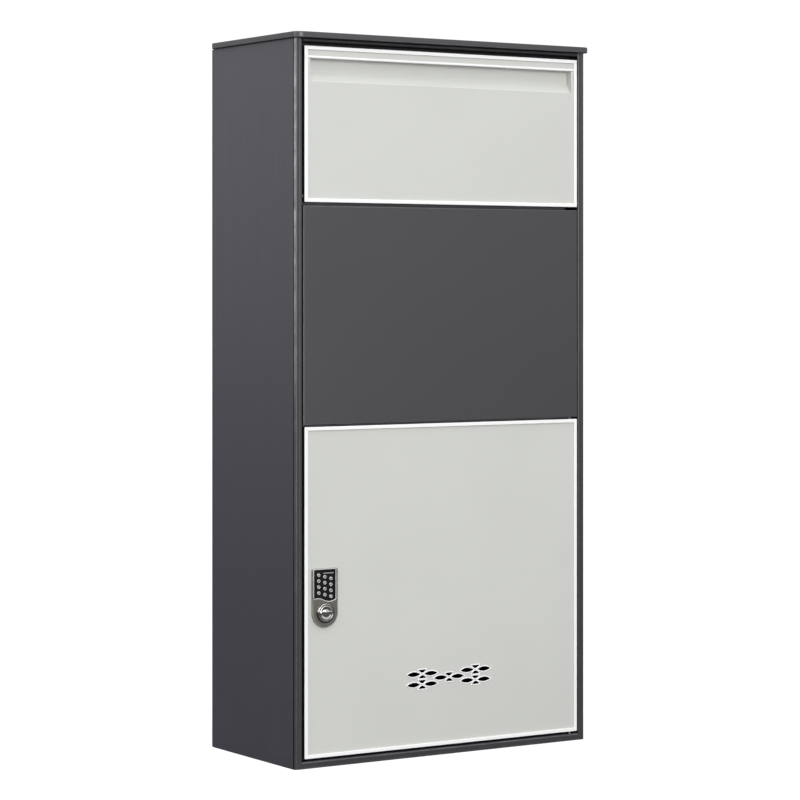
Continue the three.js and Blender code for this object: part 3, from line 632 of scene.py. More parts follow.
def mirrored(patches: Sequence[Patch]) -> list[Patch]:
    """The same patches with left and right exchanged."""
    return [Patch(p.points * [-1, 1, 1], p.faces[:, ::-1], p.edge, p.inlay) for p in patches]


def dome(radius: float, height: float, steps: int = 5) -> tuple[Array, Array]:
    """Quarter of an ellipse from the rim to the pole: radius * cos t, and height * sin t."""
    angle = np.linspace(0, math.pi / 2, steps)
    return radius * np.cos(angle), height * np.sin(angle)


def rivets(places: Array, face: float, radius: float = 2.4, height: float = 1.0) -> list[Patch]:
    """Pop rivet heads on the back of a sheet.

    A head is a low dome with a dished middle, turned about its own line and copied to each place.

    Args:
        places: (n, 2) flat places.
        face: Level of the sheet's back.
        radius: Radius of a head.
        height: Height of a head.

    Returns:
        One patch for each rivet.
    """
    rim, rise = dome(radius, height)
    dish = radius * 0.35
    radii = np.r_[0.0, radius * 0.4, rim[rim > dish], dish, dish * 0.6, 0.0]
    rises = np.r_[-0.1, -0.1, rise[rim > dish], height * 0.95, height * 0.55, height * 0.45]
    mask = np.r_[0.0, 0.0, np.ones(len(radii) - 2)] * 0.5
    return [revolve(radii, face + rises, place, mask=mask, count=14) for place in places]


# ---- Finishes ----


class Slot(Enum):
    """Material slots of the record."""

    GRAPHITE = "graphite_powder_coat"
    LIGHT = "light_grey_coat"
    WHITE = "white_edge"
    INNER = "inner_grey_coat"
    ZINC = "zinc_steel"
    RUBBER = "bumper_rubber"
    NICKEL = "lock_nickel"
    CHROME = "lock_chrome"
    GLOSS = "keypad_gloss"
    PLASTIC = "lock_plastic"


class Grain(Enum):
    """Which fine surface a finish has."""

    PEEL = "peel"
    STREAK = "streak"


class Graph:
    """Adds nodes and links to a node tree."""

    def __init__(self, tree: Tree) -> None:
        """Keep the tree."""
        self.tree = tree

    def node(self, kind: str, inputs: dict[str | int, object] | None = None, **settings: object) -> Node:
        """Add a node.

        Args:
            kind: Blender's node type.
            inputs: Values for its sockets, or output sockets to link to them.
            settings: Values for its properties.

        Returns:
            The node.
        """
        made = self.tree.nodes.new(kind)
        for name, value in settings.items():
            setattr(made, name, value)
        for name, value in (inputs or {}).items():
            if isinstance(value, Socket):
                self.tree.links.new(value, made.inputs[name])
            else:
                made.inputs[name].default_value = value
        return made

    def math(self, operation: str, *values: object, clamp: bool = False) -> Socket:
        """Add a Math node and give its output."""
        made = self.node("ShaderNodeMath", dict(enumerate(values)), operation=operation, use_clamp=clamp)
        return made.outputs[0]

    def ramp(self, value: object, low: float, high: float, out_low: float = 0.0,
             out_high: float = 1.0) -> Socket:
        """Add a clamped Map Range node and give its output."""
        made = self.node("ShaderNodeMapRange", {"Value": value, "From Min": low, "From Max": high,
                                                "To Min": out_low, "To Max": out_high}, clamp=True)
        return made.outputs["Result"]

    def noise(self, vector: object, scale: float, detail: float = 2.0) -> Socket:
        """Add a Noise Texture node and give its value."""
        made = self.node("ShaderNodeTexNoise", {"Vector": vector, "Scale": scale, "Detail": detail})
        return made.outputs["Fac"]

    def mix(self, factor: object, first: object, second: object) -> Socket:
        """Add a colour Mix node and give its result; 6 and 7 are the numbers of its colour sockets."""
        return self.node("ShaderNodeMix", {0: factor, 6: first, 7: second}, data_type="RGBA").outputs[2]


@dataclass
class Effects:
    """Node groups that several finishes share, and the materials made so far, each built once."""

    groups: dict[str, Tree] = field(default_factory=dict)
    materials: dict[str, bpy.types.Material] = field(default_factory=dict)

    def group(self, name: str) -> Tree:
        """The group of that name, made when first asked for."""
        if name not in self.groups:
            self.groups[name] = getattr(self, f"_{name}")()
        return self.groups[name]

    def _start(self, name: str, floats: Sequence[tuple[str, float]],
               outs: Sequence[str]) -> tuple[Graph, dict[str, Socket]]:
        """Make an empty group with a Vector and some values going in, and values coming out."""
        tree = bpy.data.node_groups.new(name, "ShaderNodeTree")
        tree.interface.new_socket("Vector", in_out="INPUT", socket_type="NodeSocketVector")
        for socket, value in floats:
            made = tree.interface.new_socket(socket, in_out="INPUT", socket_type="NodeSocketFloat")
            made.default_value = value
        for socket in outs:
            tree.interface.new_socket(socket, in_out="OUTPUT", socket_type="NodeSocketFloat")
        graph = Graph(tree)
        entry = graph.node("NodeGroupInput")
        return graph, {socket.name: socket for socket in entry.outputs}

    def _peel(self) -> Tree:
        """Powder coat: small rounded cells under a fine ripple, and a broad cloudiness in the tone."""
        graph, inputs = self._start("powder_peel", [("Scale", 900.0)], ["Height", "Tone"])
        cells = graph.node("ShaderNodeTexVoronoi", {"Vector": inputs["Vector"], "Scale": inputs["Scale"]},
                           feature="SMOOTH_F1")
        ripple = graph.node("ShaderNodeTexNoise", {"Vector": inputs["Vector"], "Scale": inputs["Scale"],
                                                   "Detail": 3.0})
        height = graph.math("MULTIPLY_ADD", cells.outputs["Distance"], 0.6, ripple.outputs["Fac"])
        cloud = graph.noise(inputs["Vector"], 7.0, 3.0)
        speck = graph.math("SUBTRACT", ripple.outputs["Fac"], 0.5)
        tone = graph.math("MULTIPLY_ADD", speck, 0.5, graph.ramp(cloud, 0.3, 0.7))
        graph.node("NodeGroupOutput", {"Height": height, "Tone": tone})
        return graph.tree

    def _streak(self) -> Tree:
        """Drawn sheet: noise pulled long along Z, in a broad and a fine layer."""
        graph, inputs = self._start("drawn_streak", [("Scale", 260.0), ("Pull", 40.0)], ["Height", "Tone"])
        along = graph.math("DIVIDE", inputs["Scale"], inputs["Pull"])
        stretch = graph.node("ShaderNodeCombineXYZ", {"X": inputs["Scale"], "Y": inputs["Scale"], "Z": along})
        pulled = graph.node("ShaderNodeVectorMath", {0: inputs["Vector"], 1: stretch.outputs[0]},
                            operation="MULTIPLY").outputs[0]
        fine = graph.noise(pulled, 3.0, 4.0)
        broad = graph.noise(pulled, 0.35, 2.0)
        tone = graph.math("MULTIPLY_ADD", graph.ramp(broad, 0.3, 0.7), 0.5,
                          graph.ramp(fine, 0.3, 0.7, 0.0, 0.5))
        graph.node("NodeGroupOutput", {"Height": fine, "Tone": tone})
        return graph.tree

    def _rub(self) -> Tree:
        """Edge wear, and on the posts' outer corner a painted highlight: the edge mask broken up by noise."""
        graph, inputs = self._start("edge_rub", [("Edge", 0.0), ("Amount", 0.5)], ["Mask"])
        patchy = graph.ramp(graph.noise(inputs["Vector"], 60.0, 4.0), 0.35, 0.65, 0.35, 1.0)
        mask = graph.math("MULTIPLY", graph.math("MULTIPLY", inputs["Edge"], patchy), inputs["Amount"],
                          clamp=True)
        graph.node("NodeGroupOutput", {"Mask": mask})
        return graph.tree

    def _dust(self) -> Tree:
        """Dust that fades out with height above the floor, broken up by noise."""
        graph, inputs = self._start("floor_dust", [("Reach", 0.25), ("Amount", 0.1)], ["Mask"])
        height = graph.node("ShaderNodeSeparateXYZ", {0: inputs["Vector"]}).outputs["Z"]
        fade = graph.math("SUBTRACT", 1.0, graph.math("DIVIDE", height, inputs["Reach"]), clamp=True)
        patchy = graph.ramp(graph.noise(inputs["Vector"], 18.0, 5.0), 0.3, 0.75, 0.2, 1.0)
        mask = graph.math("MULTIPLY", graph.math("MULTIPLY", fade, patchy), inputs["Amount"], clamp=True)
        graph.node("NodeGroupOutput", {"Mask": mask})
        return graph.tree


def linear(colour: tuple[float, float, float]) -> tuple[float, float, float, float]:
    """An sRGB colour, 0 to 255, as linear light: c / 12.92 below 0.04, else ((c + 0.055) / 1.055) ** 2.4."""
    share = np.array(colour) / 255
    light = np.where(share <= 0.04045, share / 12.92, ((share + 0.055) / 1.055) ** 2.4)
    return (*light.tolist(), 1.0)


@dataclass(frozen=True)
class Finish:
    """A finish and the recipe of its material.

    Attributes:
        name: Name of the material.
        slot: Slot of the record that it belongs to; not used.
        colour: Base colour, sRGB 0 to 255.
        shade: Colour that the tone of the grain leads to.
        rubbed: Colour of rubbed edges, and of the painted highlight on the posts' outer corner.
        roughness: Lowest and highest roughness.
        metallic: Share of bare metal.
        grain: Kind of fine surface.
        scale: Scale of the grain, per metre.
        pull: How long the streaks are.
        relief: Strength of the bump.
        rub: Amount of wear on edges, and on the posts the strength of the painted highlight.
        dust: Amount of dust near the floor.
        coat: Clear coat weight.
        specular: Strength of the reflection at a right angle, 0.5 being that of common paint.
        inlay: Colour of the inlay mask, or None where the finish has none; on the graphite and light grey
            coats it is painted shade.
    """

    name: str
    slot: Slot
    colour: tuple[float, float, float]
    shade: tuple[float, float, float]
    rubbed: tuple[float, float, float]
    roughness: tuple[float, float] = (0.4, 0.5)
    metallic: float = 0.0
    grain: Grain = Grain.PEEL
    scale: float = 900.0
    pull: float = 40.0
    relief: float = 0.1
    rub: float = 0.3
    dust: float = 0.1
    coat: float = 0.0
    specular: float = 0.5
    inlay: tuple[float, float, float] | None = None

    def material(self, effects: Effects) -> bpy.types.Material:
        """Build the material, or give it back when it is already there.

        Args:
            effects: The shared node groups.

        Returns:
            The material.
        """
        if self.name in effects.materials:
            return effects.materials[self.name]
        made = bpy.data.materials.new(f"{self.name}_look")
        effects.materials[self.name] = made
        made.use_nodes = True
        made.node_tree.nodes.clear()
        graph = Graph(made.node_tree)
        place = graph.node("ShaderNodeTexCoord").outputs["Object"]
        values = {"Vector": place, "Scale": self.scale}
        if self.grain is Grain.STREAK:
            values["Pull"] = self.pull
        grain = graph.node("ShaderNodeGroup", values, node_tree=effects.group(self.grain.value))
        edge = graph.node("ShaderNodeAttribute", attribute_name="edge").outputs["Fac"]
        rub = graph.node("ShaderNodeGroup", {"Vector": place, "Edge": edge, "Amount": self.rub},
                         node_tree=effects.group("rub"))
        dust = graph.node("ShaderNodeGroup", {"Vector": place, "Amount": self.dust},
                          node_tree=effects.group("dust"))
        tone = graph.mix(grain.outputs["Tone"], linear(self.colour), linear(self.shade))
        # Rubbed edges, and on the posts' outer corner a painted highlight.
        wear_and_highlight = graph.mix(rub.outputs["Mask"], tone, linear(self.rubbed))
        colour = graph.mix(dust.outputs["Mask"], wear_and_highlight, linear(DUST_COLOUR))
        if self.inlay:
            inlay = graph.node("ShaderNodeAttribute", attribute_name="inlay").outputs["Fac"]
            colour = graph.mix(inlay, colour, linear(self.inlay))
        low, high = self.roughness
        rough = graph.math("MULTIPLY_ADD", dust.outputs["Mask"], DUST_ROUGHNESS,
                           graph.ramp(grain.outputs["Tone"], 0.0, 1.0, low, high))
        bump = graph.node("ShaderNodeBump", {"Height": grain.outputs["Height"], "Strength": self.relief,
                                             "Distance": BUMP_METRES})
        shader = graph.node("ShaderNodeBsdfPrincipled", {
            "Base Color": colour, "Roughness": rough, "Normal": bump.outputs["Normal"],
            "Metallic": self.metallic, "Specular IOR Level": self.specular, "Coat Weight": self.coat,
            "Coat Roughness": COAT_ROUGHNESS})
        graph.node("ShaderNodeOutputMaterial", {"Surface": shader.outputs["BSDF"]})
        return made


# The drawn graphite of the sides; its near-black inlay paints the shade in the seam at their front cut edges.
GRAPHITE_SIDE = Finish("graphite_drawn", Slot.GRAPHITE, (59, 59, 68), (54, 54, 62), (120, 120, 126),
                       (0.34, 0.44), grain=Grain.STREAK, pull=60.0, relief=0.05, rub=0.4, dust=0.02,
                       specular=0.8, inlay=(10, 10, 11))
# A darker copy of the graphite coat that paints shade on the posts; its rubbed colour paints the highlight on
# their outer corner, and its inlay paints shade on their inner wall.
GRAPHITE_POST = Finish("graphite_post", Slot.GRAPHITE, (42, 42, 46), (39, 39, 43), (205, 205, 212),
                       (0.3, 0.4), grain=Grain.STREAK, pull=60.0, relief=0.05, rub=0.9, dust=0.02,
                       specular=0.8, inlay=(12, 12, 13))
# The graphite coat; its inlay paints shade on the middle panel's returns, in the gaps round it.
GRAPHITE_FACE = Finish("graphite_coat", Slot.GRAPHITE, (54, 54, 57), (51, 51, 54), (130, 130, 135),
                       (0.36, 0.44), scale=1100.0, relief=0.14, rub=0.35, dust=0.02, specular=0.8,
                       inlay=(30, 30, 32))
# A darker copy of the graphite coat that paints the shade near the floor on the sill.
GRAPHITE_SILL = Finish("graphite_sill", Slot.GRAPHITE, (44, 44, 48), (41, 41, 45), (112, 112, 118),
                       (0.36, 0.44), scale=1100.0, relief=0.14, rub=0.45, dust=0.03, specular=0.6)
# A darker copy of the graphite coat that paints the shadow under the cap on the head rail.
GRAPHITE_HEAD_SHADE = Finish("graphite_shade", Slot.GRAPHITE, (34, 34, 36), (31, 31, 33), (90, 90, 94),
                       (0.4, 0.5), scale=1100.0, relief=0.14, dust=0.02)
# Its near-black inlay paints shade on the returns of the flap and the door, in the gaps round them, and on
# the walls of the vents and the bore.
LIGHT_GREY = Finish("light_grey_powder", Slot.LIGHT, (199, 200, 195), (195, 196, 190), (222, 223, 219),
                    (0.4, 0.48), scale=1000.0, relief=0.12, rub=0.35, dust=0.03, inlay=(16, 16, 17))
# White is the borders' own colour; on the vent rims and the slot bead it paints the highlight along their
# rounded fronts.
WHITE_EDGE = Finish("white_edge_powder", Slot.WHITE, (240, 240, 239), (236, 236, 235), (250, 250, 250),
                    (0.28, 0.36), scale=1000.0, relief=0.06, rub=0.2, dust=0.02)
INNER_GREY = Finish("inner_grey_coat", Slot.INNER, (138, 139, 142), (126, 127, 131), (170, 170, 172),
                    (0.5, 0.62), 0.1, scale=700.0, relief=0.25, rub=0.4, dust=0.25)
ZINC_STEEL = Finish("zinc_steel", Slot.ZINC, (170, 170, 164), (138, 139, 136), (205, 205, 200),
                    (0.25, 0.48), 0.95, scale=160.0, rub=0.5)
RUBBER = Finish("bumper_rubber", Slot.RUBBER, (34, 34, 35), (24, 24, 25), (60, 60, 60),
                (0.75, 0.9), scale=500.0, relief=0.3, dust=0.2)
NICKEL = Finish("brushed_nickel", Slot.NICKEL, (128, 125, 116), (114, 111, 103), (222, 221, 216),
                (0.28, 0.42), 0.6, Grain.STREAK, pull=50.0, relief=0.12, rub=0.8, dust=0.0)
CHROME = Finish("polished_chrome", Slot.CHROME, (214, 213, 208), (196, 195, 190), (240, 240, 238),
                (0.07, 0.16), 1.0, scale=300.0, relief=0.02, dust=0.0, inlay=(112, 110, 104))
BEZEL = Finish("bezel_edge", Slot.CHROME, (232, 232, 228), (222, 222, 218), (250, 250, 248),
               (0.2, 0.3), 0.35, scale=300.0, relief=0.02, rub=0.5, dust=0.0)
KEY_CAP = Finish("key_cap", Slot.CHROME, (222, 221, 216), (206, 205, 200), (244, 244, 242),
                 (0.2, 0.3), 0.6, relief=0.03, dust=0.0, inlay=(46, 44, 40))
GLOSS_BLACK = Finish("keypad_gloss", Slot.GLOSS, (13, 13, 14), (17, 17, 18), (40, 40, 42),
                     (0.14, 0.24), scale=300.0, relief=0.02, dust=0.0, coat=0.4,
                     inlay=(142, 142, 140))
MATT_PLASTIC = Finish("lock_plastic", Slot.PLASTIC, (30, 31, 33), (24, 25, 27), (62, 63, 66),
                      (0.5, 0.66), scale=1500.0, relief=0.4, rub=0.35)


# ---- The workshop ----


@dataclass
class Workshop:
    """Makes finished objects from patches and ties them to the bodies of the frame."""

    effects: Effects = field(default_factory=Effects)
    bodies: dict[str, str] = field(default_factory=dict)

    def __post_init__(self) -> None:
        """Note the body of each node."""
        groups = frame["record"]["behaviour"]["bodies"]
        self.bodies = {node: body for body, nodes in groups.items() for node in nodes}

    def install(self, name: str, patches: Sequence[Patch], finish: Finish, *nodes: str,
                beside: str = "") -> None:
        """Make a piece, dress it and let it ride.

        Args:
            name: Name of the piece.
            patches: Its surface.
            finish: Its finish.
            nodes: CAD nodes that it stands for; none for added detail.
            beside: Node whose body added detail rides on.
        """
        self._tie(name, self._mesh(name, patches), finish, nodes, beside or nodes[0])

    def pair(self, name: str, patches: Sequence[Patch], finish: Finish, node: str) -> None:
        """Install a left piece, and its mirror image on the right, for the nodes left_NODE and right_NODE."""
        self.install(f"{name}_left", patches, finish, f"left_{node}")
        self.install(f"{name}_right", mirrored(patches), finish, f"right_{node}")

    def soften(self, node: str, finish: Finish, width: float = 0.4) -> None:
        """Stand in for a CAD node with a merged copy whose edges are rounded.

        Args:
            node: The node.
            finish: Its finish.
            width: Width of the rounding in millimetres.
        """
        mesh = frame["nodes"][node].data.copy()
        mesh.materials.clear()
        form = bmesh.new()
        form.from_mesh(mesh)
        bmesh.ops.remove_doubles(form, verts=form.verts, dist=WELD_MM * MM)
        bmesh.ops.dissolve_limit(form, angle_limit=math.radians(0.5), verts=form.verts, edges=form.edges)
        form.to_mesh(mesh)
        form.free()
        self._shade(mesh)
        piece = self._tie(f"{node}_part", mesh, finish, (node,), node)
        bevel = piece.modifiers.new("rounding", "BEVEL")
        bevel.width = width * MM
        bevel.segments = 2
        bevel.angle_limit = math.radians(CREASE_DEGREES)
        bevel.harden_normals = True

    def _tie(self, name: str, mesh: bpy.types.Mesh, finish: Finish, nodes: Sequence[str],
             host: str) -> bpy.types.Object:
        """Make an object of a mesh, dress it, let it ride on the host's body, and log it.

        Args:
            name: Name of the piece.
            mesh: Its mesh.
            finish: Its finish.
            nodes: CAD nodes that it stands for.
            host: Node whose body it rides on.

        Returns:
            The object.
        """
        mesh.materials.append(finish.material(self.effects))
        piece = bpy.data.objects.new(name, mesh)
        bpy.context.scene.collection.objects.link(piece)
        body = self.bodies[host]
        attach(piece, body)
        if nodes:
            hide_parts(*nodes)
        log.info("%s: %d faces, %s, on %s", name, len(mesh.polygons), finish.name, body)
        return piece

    def _mesh(self, name: str, patches: Sequence[Patch]) -> bpy.types.Mesh:
        """Join patches into one mesh in metres, weld their seams and turn the faces outwards."""
        starts = np.cumsum([0, *(len(patch.points) for patch in patches)])
        points = np.concatenate([patch.points for patch in patches]) * MM
        faces = [face for patch, start in zip(patches, starts) for face in (patch.faces + start).tolist()]
        mesh = bpy.data.meshes.new(name)
        mesh.from_pydata(points.tolist(), [], faces)
        for mask in ("edge", "inlay"):
            values = np.concatenate([getattr(patch, mask) for patch in patches]).astype(np.float32)
            mesh.attributes.new(mask, "FLOAT", "POINT").data.foreach_set("value", values)
        form = bmesh.new()
        form.from_mesh(mesh)
        bmesh.ops.remove_doubles(form, verts=form.verts, dist=WELD_MM * MM)
        bmesh.ops.dissolve_degenerate(form, dist=WELD_MM * MM / 10, edges=form.edges)
        bmesh.ops.recalc_face_normals(form, faces=form.faces)
        form.to_mesh(mesh)
        form.free()
        self._shade(mesh)
        return mesh

    @staticmethod
    def _shade(mesh: bpy.types.Mesh) -> None:
        """Shade a mesh smooth, with crisp folds."""
        mesh.polygons.foreach_set("use_smooth", np.ones(len(mesh.polygons), dtype=bool))
        mesh.set_sharp_from_angle(angle=math.radians(CREASE_DEGREES))
        mesh.update()


# ---- The cabinet ----


@dataclass
class Assembly:
    """A sub-assembly that makes its pieces in a workshop."""

    shop: Workshop


@dataclass
class CabinetShell(Assembly):
    """Side panels, back and weather cap.

    Attributes:
        sheet: Thickness of the sides.
        bend: Outside radius of their bends.
        flange: Width of their rear flanges.
        cut: Width of the band on their front cut edges that is painted near-black, as the shade in the seam
            behind the posts.
        bolt_hole: Radius of the bolt holes in the back.
        bolt_margin: Distance of the bolt holes from its sides and from its ends.
        rivet_pitch: About how far apart its rivets are.
        rivet_margin: Distance of the rivets from its sides and from its ends.
        cap_rim: Width of the rim round the cap's hollow underside.
        cap_skin: Thickness of its top.
        cap_round: Width and height of its upper edge's rounding.
        cap_corner: Radius of its corners, seen from above.
        cap_lower: Radius of its lower edge.
    """

    sheet: float = 1.5
    bend: float = 2.0
    flange: float = 18.0
    cut: float = 0.5
    bolt_hole: float = 5.0
    bolt_margin: tuple[float, float] = (90.0, 110.0)
    rivet_pitch: float = 108.0
    rivet_margin: tuple[float, float] = (9.5, 28.0)
    cap_rim: float = 14.0
    cap_skin: float = 2.0
    cap_round: tuple[float, float] = (1.4, 1.0)
    cap_corner: float = 12.0
    cap_lower: float = 0.9

    def build(self) -> None:
        """Build and dress the shell."""
        self._sides()
        self._back()
        self._cap()

    def _sides(self) -> None:
        """A folded sheet swept upwards: flange, rear bend, side face and front edge."""
        box = Extent.of("left_side_panel")
        left, (front, back) = box.low[0], box.deep
        path = np.array([[left + self.flange, back], [left, back], [left, front]])
        outline, mask = folded(path, self.sheet, self.bend)
        # The front cut edge's band carries the near-black inlay: painted shade for the seam behind the post.
        cut = (outline[:, 1] < front + self.cut).astype(float)
        wall = sweep(outline, mask * (1 - cut), Axis.Z, box.low[2], box.high[2], cut)
        self.shop.pair("side_sheet", wall, GRAPHITE_SIDE, "side_panel")

    def _back(self) -> None:
        """A flat sheet with four bolt holes, riveted to the flanges of the sides."""
        box = Extent.of("back_panel")
        low, high = box.flat(Axis.Y)
        across, up = self.bolt_margin
        centres = [(x, z) for x in (low[0] + across, high[0] - across) for z in (up, high[1] - up)]
        holes = tuple(circle(centre, self.bolt_hole) for centre in centres)
        sheet = Plate(panel(low, high, 1.5), box.deep, holes=holes, soft=(0.3, 0.4))
        self.shop.install("rear_sheet", sheet.patches(), GRAPHITE_SIDE, "back_panel")
        side, end = self.rivet_margin
        count = int((high[1] - low[1]) // self.rivet_pitch)
        rows = np.linspace(low[1] + end, high[1] - end, count + 1)
        places = np.stack(np.meshgrid([low[0] + side, high[0] - side], rows), -1).reshape(-1, 2)
        self.shop.install("rear_rivets", rivets(places, box.high[1]), ZINC_STEEL, beside="back_panel")

    def _cap(self) -> None:
        """A rectangle with rounded corners carried along a bullnose.

        The upper edge is a quarter of an ellipse, inset a * (1 - cos t) and level top - b * (1 - sin t); the
        lower edge is a small quarter circle, and the underside is hollow inside a rim.
        """
        box = Extent.of("top_cap")
        bottom, top = box.low[2], box.high[2]
        hollow = top - self.cap_skin
        across, up = self.cap_round
        under = np.array([[self.cap_rim + 2.0, hollow], [self.cap_rim, hollow], [self.cap_rim, bottom],
                          [0.0, bottom], [0.0, top - up]])
        path, mask = profile(under, np.array([0, 0.8, 0.5, self.cap_lower, 0]))
        angle = np.linspace(0, math.pi / 2, 11)[1:]
        nose = np.stack([across * (1 - np.cos(angle)), top - up + up * np.sin(angle)], -1)
        path = np.concatenate([path, nose, [[across + 1.0, top]]])
        mask = np.r_[mask, np.where(angle < 1.2, 0.35, 0.0), 0.0]
        loops = ring_loops(*box.flat(Axis.Z), path[:, 0], self.cap_corner, 12)
        patches = [Patch.loft(loops, path[:, 1], mask, axis=Axis.Z),
                   Patch.field(loops[0], [], Axis.Z, hollow), Patch.field(loops[-1], [], Axis.Z, top)]
        self.shop.install("weather_cap", patches, GRAPHITE_FACE, "top_cap")


@dataclass
class FrontFrame(Assembly):
    """Posts, sill and head rail round the front; the posts meet the sill in a mitre.

    Attributes:
        sheet: Thickness.
        bend: Outside radius of the bends.
        wrap: How far a post's outer edge turns back.
        foot: Width of the sill's foot.
        lip: Height of the stop lips of the sill and of the head.
        depth: Depth of a post's inner wall.
        rail: Width of the head's top flange.
        bands: Places of the edges of a post's two rolled bands, as shares of its face.
        band_depth: Depth of the bands.
        mitre: Rise of the mitre across a post's face.
        gap: Half of the gap in the mitre, and half of that beside the cross rails.
        stations: Places of a post's further rows, as shares of its length.
        touched: Strength of the painted highlight on a post's outer corner at each row, from the foot
            upwards.
    """

    sheet: float = 1.5
    bend: float = 2.0
    wrap: float = 4.6
    foot: float = 16.0
    lip: float = 10.0
    depth: float = 24.0
    rail: float = 20.0
    bands: tuple[float, ...] = (0.30, 0.38, 0.56, 0.64)
    band_depth: float = 0.16
    mitre: float = 10.0
    gap: float = 0.15
    stations: tuple[float, ...] = (0.25, 0.45, 0.6, 0.75)
    touched: tuple[float, ...] = (0.0, 0.0, 0.04, 0.12, 0.4, 0.8, 0.85, 0.85)

    def build(self) -> None:
        """Build and dress the frame."""
        self._posts()
        self._sill()
        self._head()

    def _posts(self) -> None:
        """A folded sheet swept upwards from the mitre; its bands are small steps of the outer line."""
        box = Extent.of("left_jamb")
        left, front = box.low[0], box.low[1]
        inner = Extent.of("lower_cross_rail").low[0] - 2 * self.gap
        back, face = front + self.depth, inner - left
        levels = front + self.band_depth * np.array([0, 1, 1, 0])
        bands = np.stack([left + face * np.array(self.bands), levels], -1)
        path = np.concatenate([[[left, front + self.wrap], [left, front]], bands,
                               [[inner, front], [inner, back], [left + 1.8, back]]])
        outline, mask = folded(path, self.sheet, self.bend, 0.3)
        x, y = outline[:, 0] - left, outline[:, 1] - front
        start = np.clip(x * (self.mitre / face), 0, None) + self.gap
        # A strip on the outer corner carries a painted highlight that grows from the foot upwards; the other
        # bends get slight wear.
        corner = ((x < 0.2) & (y < self.wrap)).astype(float)
        wear_and_highlight = np.maximum(mask * 0.04, np.array(self.touched)[:, None] * corner)
        # The inner wall carries the near-black inlay, painted shade in the gap beside the door and the flap.
        inner_wall_shade = (face - x < 1.9) & (y > 0.1)
        wall = sweep(outline, wear_and_highlight, Axis.Z, start + Extent.of("sill_rail").low[2], box.high[2],
                     inner_wall_shade.astype(float), self.stations)
        self.shop.pair("frame_post", wall, GRAPHITE_POST, "jamb")

    def _sill(self) -> None:
        """A folded sheet swept across, from the mitre on each side: foot, face, tread and stop lip."""
        box = Extent.of("sill_rail")
        stop = box.high[1] - self.sheet
        front, top = box.low[1], box.high[2] - self.lip
        path = np.array([[stop, top + self.lip], [stop, top], [front, top], [front, box.low[2]],
                         [front + self.foot, box.low[2]]])
        outline, mask = folded(path, self.sheet, self.bend)
        inner = -Extent.of("lower_cross_rail").low[0]
        slope = (box.high[0] - inner) / top
        mitre = box.high[0] - np.clip(outline[:, 1], 0, top) * slope - self.gap
        end = np.where(outline[:, 0] > front + self.wrap, inner, mitre)
        self.shop.install("sill", sweep(outline, mask, Axis.X, -end, end), GRAPHITE_SILL, "sill_rail")

    def _head(self) -> None:
        """A folded sheet swept across under the cap: top flange, face, soffit and stop lip."""
        box = Extent.of("head_rail")
        stop = box.high[1] - self.sheet
        front, low, top = box.low[1], box.low[2] + self.lip, box.high[2]
        path = np.array([[front + self.rail, top], [front, top], [front, low], [stop, low],
                         [stop, box.low[2]]])
        outline, mask = folded(path, self.sheet, self.bend)
        wall = sweep(outline, mask, Axis.X, box.low[0], box.high[0])
        self.shop.install("head", wall, GRAPHITE_HEAD_SHADE, "head_rail")


@dataclass
class MiddlePanel(Assembly):
    """The fixed panel between the flap and the door, with bends of the given outside radius."""

    bend: float = 1.8

    def build(self) -> None:
        """Build and dress the panel."""
        box = Extent.of("middle_panel")
        tray = Tray(*box.flat(Axis.Y), box.deep, bend=self.bend)
        self.shop.install("centre_panel", tray.patches(), GRAPHITE_FACE, "middle_panel")


@dataclass
class Hardware(Assembly):
    """Small steel and rubber parts on the cabinet, most of them inside it.

    Attributes:
        soft: Rounding of the steel parts' edges.
        foot: Height of a bumper's disc, as a share of the bumper.
    """

    soft: float = 0.3
    foot: float = 0.4

    def build(self) -> None:
        """Build and dress the parts."""
        for node in ("base_pan", "roof_panel", "upper_cross_rail", "lower_cross_rail", "anti_theft_baffle"):
            self.shop.soften(node, INNER_GREY, self.soft)
        plated = [f"door_hinge_{part}_{end}" for part in ("bracket", "pin") for end in ("lower", "upper")]
        plated += [f"flap_pivot_{part}_{side}" for part in ("bracket", "pin") for side in ("left", "right")]
        for node in (*plated, "strike_plate"):
            self.shop.soften(node, ZINC_STEEL, self.soft)
        for node in ("door_bumper_upper", "door_bumper_lower", "flap_bumper_left", "flap_bumper_right"):
            self._bumper(node)

    def _bumper(self, node: str) -> None:
        """A low rubber dome on a disc: a profile turned about its own line."""
        box = Extent.of(node)
        radius, thickness = box.radius, box.high[1] - box.low[1]
        rim, rise = dome(radius, thickness * (1 - self.foot), 7)
        radii = np.r_[0.0, radius - 0.3, radius, rim]
        levels = box.high[1] - np.r_[0.0, 0.0, 0.3, thickness * self.foot + rise]
        self.shop.install(f"{node}_pad", [revolve(radii, levels, box.centre, count=24)], RUBBER, node)


# ---- The hopper flap ----


